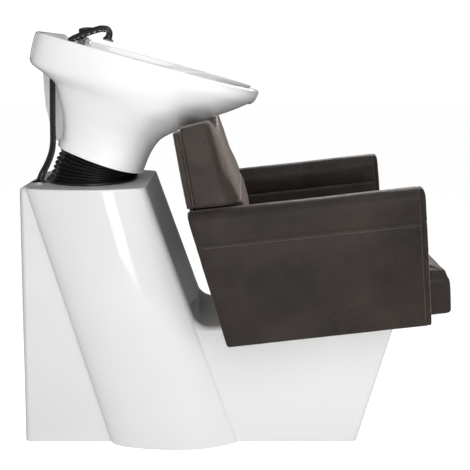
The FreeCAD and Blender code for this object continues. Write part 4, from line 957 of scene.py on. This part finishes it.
def puff(ob, pressure, cap, frames=20):
    """Inflates the cover between its pinned seams, no point further than cap (metres)."""
    subdivide(ob)
    pin = np.maximum(group_weights(ob, "seam"), group_weights(ob, "hold"))
    base = coords(ob.data).copy()
    vg = ob.vertex_groups.new(name="pin")
    vg.add([int(i) for i in np.nonzero(pin > 0.9)[0]], 1.0, "REPLACE")
    md = ob.modifiers.new("cloth", "CLOTH")
    st = md.settings
    st.quality = 4
    st.mass = 0.3
    st.tension_stiffness = st.compression_stiffness = 12.0
    st.shear_stiffness = 8.0
    st.bending_stiffness = 1.5
    st.use_pressure = True
    st.uniform_pressure_force = pressure
    st.effector_weights.gravity = 0.0
    st.vertex_group_mass = "pin"
    md.point_cache.frame_start, md.point_cache.frame_end = 1, frames
    for f in range(1, frames + 1):
        SCENE.frame_set(f)
    apply_mod(ob, md)
    SCENE.frame_set(1)
    d = coords(ob.data) - base
    ln = np.linalg.norm(d, axis=1)
    k = np.where(ln > 1e-9, cap * np.tanh(ln / cap) / np.maximum(ln, 1e-9), 0.0)
    set_coords(ob.data, base + d * k[:, None])
    print(ob.name, len(base), "verts, swell mm", round(float((ln * k).max()) * 1000, 1), "raw", round(float(ln.max()) * 1000, 1))
    return ob


def finish_pad(ob, groove, seed, wrinkle=0.00035):
    """Pulls the seams in, smooths once more and adds the faint unevenness of a cover over foam."""
    w = group_weights(ob, "seam")
    a = coords(ob.data)
    set_coords(ob.data, a - normals(ob.data) * (groove * np.clip(w, 0, 1) ** 1.5)[:, None])
    subdivide(ob)
    a, nn = coords(ob.data), normals(ob.data)
    h = np.array([noise.noise((p[0] * 16 + seed, p[1] * 30, p[2] * 46)) + 0.6 * noise.noise((p[0] * 44, p[1] * 60 + seed, p[2] * 120)) for p in a])
    set_coords(ob.data, a + nn * (wrinkle * h)[:, None])
    ob.data.polygons.foreach_set("use_smooth", [True] * len(ob.data.polygons))
    ob.vertex_groups.clear()
    return ob


def stitch_rows(name, ob, lines, pitch=0.0056, length=0.0038, rad=0.00042):
    """Separate sewn stitches laid on the cover along lines."""
    bvh = BVHTree.FromPolygons([v.co for v in ob.data.vertices], [tuple(p.vertices) for p in ob.data.polygons])
    verts, faces = [], []
    prof = [(-0.5, 0.35), (-0.42, 0.85), (-0.2, 1.0), (0.2, 1.0), (0.42, 0.85), (0.5, 0.35)]
    for line in lines:
        P = np.asarray(line, float)
        s = np.concatenate([[0], np.cumsum(np.linalg.norm(np.diff(P, axis=0), axis=1))])
        at = np.arange(pitch, s[-1] - pitch, pitch)
        for q in at:
            c = np.array([np.interp(q, s, P[:, k]) for k in range(3)])
            e = np.array([np.interp(q + 0.001, s, P[:, k]) for k in range(3)])
            loc, nrm, _, dist = bvh.find_nearest(Vector(c))
            if loc is None or dist > 0.02:
                continue
            t = Vector(e - c)
            t -= nrm * t.dot(nrm)
            t.normalize()
            b = nrm.cross(t)
            base = len(verts)
            for f, r in prof:
                dip = -0.00035 * (2 * abs(f)) ** 3
                ctr = loc + t * (f * length) + nrm * (rad * 0.55 + dip)
                for i in range(6):
                    an = math.pi / 3 * i
                    verts.append(ctr + (b * math.cos(an) + nrm * math.sin(an)) * (rad * r))
            for k in range(len(prof) - 1):
                for i in range(6):
                    faces.append((base + k * 6 + i, base + k * 6 + (i + 1) % 6, base + (k + 1) * 6 + (i + 1) % 6, base + (k + 1) * 6 + i))
            faces.append(tuple(base + i for i in range(6))[::-1])
            faces.append(tuple(base + (len(prof) - 1) * 6 + i for i in range(6)))
    return mesh_obj(name, verts, faces, M["thread"])


def soft(ob, node_name, fill):
    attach(ob, "base")
    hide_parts(node_name)


LEATHER = M["upholstery_brown"]
# painted light: the back's paler copy of the same leatherette
BACK_LEATHER_PAINTED_LIGHT = M["upholstery_back"]

# arms: the cover's top roll, a side seam below it and a front panel set behind a seam
P_RT, P_FT, P_FB, P_RB = (np.array(p) for p in ((-91.0, 660.0), (442.0, 720.0), (477.0, 398.0), (0.0, 342.0)))
ARM_MID, ARM_HALF = 280.0, 33.5
ARM_R = 29.0
SEAM_DOWN = 77.0


def arm_section(a, half, top_in):
    """Loop (y from the middle plane, x, z) of the arm at length fraction a, inset at the ends."""
    b, t = P_RB + (P_FB - P_RB) * a, P_RT + (P_FT - P_RT) * a
    H = np.linalg.norm(t - b)
    up = (t - b) / H
    lo, hi = top_in, H - top_in
    h_seam = H - SEAM_DOWN
    r = max(2.0, ARM_R - top_in)
    n_low = 17
    side = [lo, lo + 5.0] + list(np.linspace(lo + 14, h_seam - 12, n_low)) + [h_seam - 3.2, h_seam, h_seam + 3.2] + list(np.linspace(h_seam + 14, hi - r, 3))
    pts = [(half, h) for h in side]
    arc = [(half - r + r * math.cos(x), hi - r + r * math.sin(x)) for x in np.radians([15, 30, 45, 60, 75, 90])]
    A = pts + arc[:3]
    top = arc[3:] + [(0.0, hi)] + [(-q, h) for q, h in reversed(arc[3:])]
    C = [(-q, h) for q, h in reversed(A)]
    k = len(top) + 1
    bot = [(-half + 2 * half * f, lo) for f in ([0.09] + list(np.linspace(0.22, 0.78, k - 3)) + [0.91])]
    loop = A + top + C + bot
    return [np.array([q, *(b + up * h)]) for q, h in loop], len(A) - 1, k


def build_arm():
    length = float(np.linalg.norm(P_FT - P_RT))
    er = 6.5
    d_end = [0.0, 1.0, 3.4, er]
    d_front = d_end + [9.4, 12.4, 18.0]
    body = list(np.linspace(20.0, length - 32.0, 36))
    stations = [(d, er - math.sqrt(max(0.0, er * er - (er - min(d, er)) ** 2))) for d in d_end + [12.0]]
    stations += [(d, 0.0) for d in body]
    stations += [(length - d, er - math.sqrt(max(0.0, er * er - (er - min(d, er)) ** 2))) for d in reversed(d_front)]
    rings = []
    for d, inset in stations:
        loop, n, m = arm_section(d / length, ARM_HALF - inset, inset)
        rings.append([(p[1], -ARM_MID - p[0], p[2]) for p in loop])
    ob, caps = loft_pad("arm_right_pad", rings, n, m, LEATHER)
    N = 2 * (n + m)
    K = len(rings)
    seam_i = [i for i in range(n + 1) if abs(i - 20) == 0]
    seam = ob.vertex_groups.new(name="seam")
    rows = [r * N + 20 for r in range(K)] + [r * N + (n + m + (n - 20)) for r in range(K - 3)]
    front_ring = K - 1 - 4
    rows += [front_ring * N + i for i in range(N)]
    seam.add(rows, 1.0, "REPLACE")
    hold = ob.vertex_groups.new(name="hold")
    hold.add([r * N + i for r in range(K) for i in [0, 1] + list(range(2 * n + m - 1, N))] + [i for i in range(3 * N)], 1.0, "REPLACE")
    return ob


arm_r = build_arm()
puff(arm_r, 3.0, 0.0045)
finish_pad(arm_r, 0.0022, 3.1)


def mirrored(ob, name):
    me = ob.data.copy()
    me.name = name
    a = coords(me)
    a[:, 1] *= -1
    set_coords(me, a)
    me.flip_normals()
    return link(bpy.data.objects.new(name, me))


arm_l = mirrored(arm_r, "arm_left_pad")
soft(arm_r, "arm_right", 0.8)
soft(arm_l, "arm_left", 0.8)
length_t = np.linspace(0.03, 0.975, 60)


def arm_line(side, down):
    out = []
    for a in length_t:
        b, t = P_RB + (P_FB - P_RB) * a, P_RT + (P_FT - P_RT) * a
        up = (t - b) / np.linalg.norm(t - b)
        q = t - up * down
        out.append((q[0] / 1000, side / 1000, q[1] / 1000))
    return out


def front_line(side, back):
    out = []
    for h in np.linspace(14, 296, 50):
        up = (P_FT - P_FB) / np.linalg.norm(P_FT - P_FB)
        q = P_FB + up * h
        out.append(((q[0] - back) / 1000, side / 1000, q[1] / 1000))
    return out


for ob, sg, nm in ((arm_r, -1, "arm_right_stitches"), (arm_l, 1, "arm_left_stitches")):
    st = stitch_rows(nm, ob, [arm_line(sg * (ARM_MID + ARM_HALF), SEAM_DOWN + 6.0), arm_line(sg * (ARM_MID - ARM_HALF), SEAM_DOWN + 6.0),
                              front_line(sg * (ARM_MID + ARM_HALF), 15.5), front_line(sg * (ARM_MID - ARM_HALF), 15.5)])
    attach(st, "base")


# seat cushion, in the seat's own slope (s forward, t up)
SL = math.atan(0.12)
SC, SS = math.cos(SL), math.sin(SL)


def seat_xyz(s, y, t):
    return (s * SC - t * SS, y, 328.56 + s * SS + t * SC)


def build_seat():
    s0, s1, t0, t1, hw = 66.0, 551.0, 8.0, 121.0, 238.5
    seam_t = 88.0
    fa = spread(t1 - t0, 9.0, 15.0, [(seam_t - t0) / (t1 - t0)])
    fb = spread(s1 - s0, 16.0, 15.0)
    n, m = len(fa) - 1, len(fb) - 1
    i_seam = min(range(n + 1), key=lambda i: abs(fa[i] - (seam_t - t0) / (t1 - t0)))
    ys = [-hw, -hw + 1.5, -hw + 8.0] + list(np.linspace(-hw + 20, hw - 20, 32)) + [hw - 8.0, hw - 1.5, hw]
    rings = []
    for y in ys:
        e = 5.0 * max(0.0, 1 - (hw - abs(y)) / 8.0) ** 2
        lean = lambda f: s1 - e - 1.5 * (2 * f - 1) ** 2
        crown = lambda f: 5.0 * (1 - (2 * f - 1) ** 2)
        A = [(lean(f) - (3.0 * max(0.0, (f - 0.90) / 0.10) ** 2), t0 + (t1 - t0) * f) for f in fa]
        B = [(A[-1][0] + (s0 - A[-1][0]) * f, t1 - e + crown(f) - e * 0.0) for f in fb]
        C = [(s0, t0 + (t1 - e - t0) * (1 - f)) for f in [1 - x for x in reversed(fa)]]
        D = [(s0 + (A[0][0] - s0) * f, t0) for f in [1 - x for x in reversed(fb)]]
        loop = A[:-1] + B[:-1] + C[:-1] + D[:-1]
        rings.append([seat_xyz(s, y, t) for s, t in loop])
    ob, caps = loft_pad("seat_cushion_pad", rings, n, m, LEATHER)
    N, K = 2 * (n + m), len(rings)
    seam = ob.vertex_groups.new(name="seam")
    rows = [r * N + i_seam for r in range(K)]
    for idx in caps:
        rows += [int(v) for v in idx[i_seam, :]]
    seam.add(rows, 1.0, "REPLACE")
    hold = ob.vertex_groups.new(name="hold")
    hold.add([r * N + i for r in range(K) for i in [0] + list(range(n + m, N))], 1.0, "REPLACE")
    return ob, seam_t


seat_ob, seat_seam = build_seat()
puff(seat_ob, 4.0, 0.008)
finish_pad(seat_ob, 0.0024, 7.7)
soft(seat_ob, "seat_cushion", 0.75)
st = stitch_rows("seat_stitches", seat_ob, [[tuple(c / 1000 for c in seat_xyz(548.0, y, seat_seam + 5.5)) for y in np.linspace(-232, 232, 60)],
                                            [tuple(c / 1000 for c in seat_xyz(s, -240.0, seat_seam + 5.5)) for s in np.linspace(80, 540, 60)],
                                            [tuple(c / 1000 for c in seat_xyz(s, 240.0, seat_seam + 5.5)) for s in np.linspace(80, 540, 60)]])
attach(st, "base")


# back: rear panel and front cushion, wider above the arms, hollowed under the basin
def line_x(table, z):
    t = sorted(table)
    return float(np.interp(z, [q[0] for q in t], [q[1] for q in t]))


REAR = [(352.0, -5.0), (664.0, -93.0), (846.0, -124.0)]
SEAMF = [(466.0, 50.0), (500.0, 50.0), (560.0, 44.0), (630.0, 24.0), (690.0, -2.0), (740.0, -15.0), (800.0, -31.0), (864.0, -47.0)]
CROWN = [(466.0, 58.0), (500.0, 61.0), (560.0, 59.0), (620.0, 51.0), (660.0, 39.0), (695.0, 24.0), (723.0, 11.0), (742.0, 0.5), (757.0, -5.0),
         (792.0, -15.5), (813.0, -22.0), (849.0, -34.0), (866.0, -40.0)]
TOP_SLOPE = (864.0 - 846.0) / 77.0


def arm_top(x):
    return 660.0 + (x + 91.0) * (60.0 / 533.0)


def saddle(y):
    r = (215.0 ** 2 + 42.0 ** 2) / 84.0
    return max(0.0, 42.0 - (r - math.sqrt(max(0.0, r * r - y * y)))) if abs(y) < 215 else 0.0


def back_rings(ys, hw, zlo, zhi, xr, xf, edge, pitch_n, pitch_m, er):
    """Rings of a back pad along y: zlo and zhi give the lower and upper edge's height at x and y."""
    fa = spread(200.0, edge, pitch_n)
    fb = spread(90.0, edge, pitch_m)
    n, m = len(fa) - 1, len(fb) - 1
    rings = []
    for y in ys:
        dy = hw - abs(y)
        e = er * max(0.0, 1 - dy / er) ** 2 * 0.75 if dy < er else 0.0

        def fill(f, x_of, z_base):
            # a point on the front or rear line at fraction f of the height there
            z = z_base
            for _ in range(6):
                x = x_of(z, y)
                z = zlo(x, y) + e + (zhi(x, y) - zlo(x, y) - 2 * e) * f
            return x_of(z, y), z

        A = []
        for f in fa:
            x, z = fill(f, xf, 700.0)
            A.append((x - e, z))
        C = []
        for f in fa:
            x, z = fill(f, xr, 700.0)
            C.append((x + e, z))
        C = C[::-1]
        B = []
        for f in fb:
            x = A[-1][0] + (C[0][0] - A[-1][0]) * f
            B.append((x, A[-1][1] + (C[0][1] - A[-1][1]) * f))
        D = []
        for f in [1 - q for q in reversed(fb)]:
            x = C[-1][0] + (A[0][0] - C[-1][0]) * f
            D.append((x, C[-1][1] + (A[0][1] - C[-1][1]) * f))
        loop = A[:-1] + B[:-1] + C[:-1] + D[:-1]
        rings.append([(x, y, z) for x, z in loop])
    return rings, n, m


def y_stations(hw, count, er):
    return [-hw, -hw + 1.6, -hw + er] + list(np.linspace(-hw + er + 10.0, hw - er - 10.0, count)) + [hw - er, hw - 1.6, hw]


def rise(y, hw, over):
    """0 at the side seam, 1 once the front has rolled over, a little more in the middle."""
    f = min(1.0, (hw - abs(y)) / over)
    return (1 - (1 - f) ** 2.2) + 0.25 * (1 - (abs(y) / hw) ** 2) * f


def build_back():
    parts = []
    hw = 283.0
    zt = lambda x, y: 846.0 + (x + 124.0) * TOP_SLOPE - saddle(y) - 2.0
    xr = lambda z, y: line_x(REAR, z) + 19.2
    xf = lambda z, y: line_x(SEAMF, z) + (line_x(CROWN, z) - line_x(SEAMF, z)) * min(1.12, rise(y, hw, 42.0))
    rings, n, m = back_rings(y_stations(hw, 38, 7.0), hw, lambda x, y: arm_top(x) + 5.0, zt, xr, xf, 8.0, 15.0, 15.0, 7.0)
    up, caps = loft_pad("back_cushion_pad", rings, n, m, BACK_LEATHER_PAINTED_LIGHT)
    N, K = 2 * (n + m), len(rings)
    seam = up.vertex_groups.new(name="seam")
    rows = [r * N + i for r in (2, K - 3) for i in range(0, n + 1)]
    rows += [r * N + i for r in range(2, K - 2) for i in (n,)]
    seam.add(rows, 1.0, "REPLACE")
    hold = up.vertex_groups.new(name="hold")
    hold.add([r * N + i for r in range(K) for i in list(range(n, N)) + [0]] + [int(v) for idx in caps for v in idx[[0, -1], :].ravel()], 1.0, "REPLACE")
    puff(up, 4.0, 0.006)
    finish_pad(up, 0.0022, 11.3)
    hl = 239.5
    rings, n, m = back_rings(y_stations(hl, 32, 7.0), hl, lambda x, y: 468.0, lambda x, y: arm_top(x) + 2.0,
                             lambda z, y: line_x(REAR, z) + 19.2, lambda z, y: line_x(SEAMF, z) + 1.0 + (line_x(CROWN, z) - line_x(SEAMF, z)) * min(1.12, rise(y, hl, 36.0)),
                             8.0, 15.0, 15.0, 7.0)
    low, caps = loft_pad("back_lower_pad", rings, n, m, BACK_LEATHER_PAINTED_LIGHT)
    N, K = 2 * (n + m), len(rings)
    hold = low.vertex_groups.new(name="hold")
    hold.add([r * N + i for r in range(K) for i in list(range(n, N)) + [0]] + [int(v) for idx in caps for v in idx.ravel()], 1.0, "REPLACE")
    puff(low, 4.0, 0.006)
    finish_pad(low, 0.0, 17.9)
    return up, low


back_up, back_low = build_back()
back_ob = join(back_up, back_low)
soft(back_ob, "back_cushion", 0.75)


def build_rear_panel():
    out = []
    hw = 284.0
    for nm, h, zlo, zhi, seed in (("back_panel_pad", hw, lambda x, y: arm_top(x) + 5.0, lambda x, y: 836.0 + (x + 124.0) * TOP_SLOPE - 0.8 * saddle(y), 23.0),
                                  ("back_panel_low", 240.5, lambda x, y: 354.0, lambda x, y: arm_top(x) + 3.0, 29.0)):
        fr = lambda z, y: line_x(REAR, z) + 18.4
        rr = lambda z, y: line_x(REAR, z) + 2.2
        rings, n, m = back_rings(y_stations(h, 34, 6.0), h, zlo, zhi, rr, fr, 6.0, 16.0, 30.0, 6.0)
        ob, caps = loft_pad(nm, rings, n, m, BACK_LEATHER_PAINTED_LIGHT)
        N, K = 2 * (n + m), len(rings)
        hold = ob.vertex_groups.new(name="hold")
        hold.add([r * N + i for r in range(K) for i in list(range(0, n + m)) + [n + m, 2 * n + m] + list(range(2 * n + m, N))] + [int(v) for idx in caps for v in idx.ravel()], 1.0, "REPLACE")
        puff(ob, 3.0, 0.005)
        finish_pad(ob, 0.0, seed)
        out.append(ob)
    return join(out[0], out[1])


panel_ob = build_rear_panel()
soft(panel_ob, "back_rear_panel", 0.5)
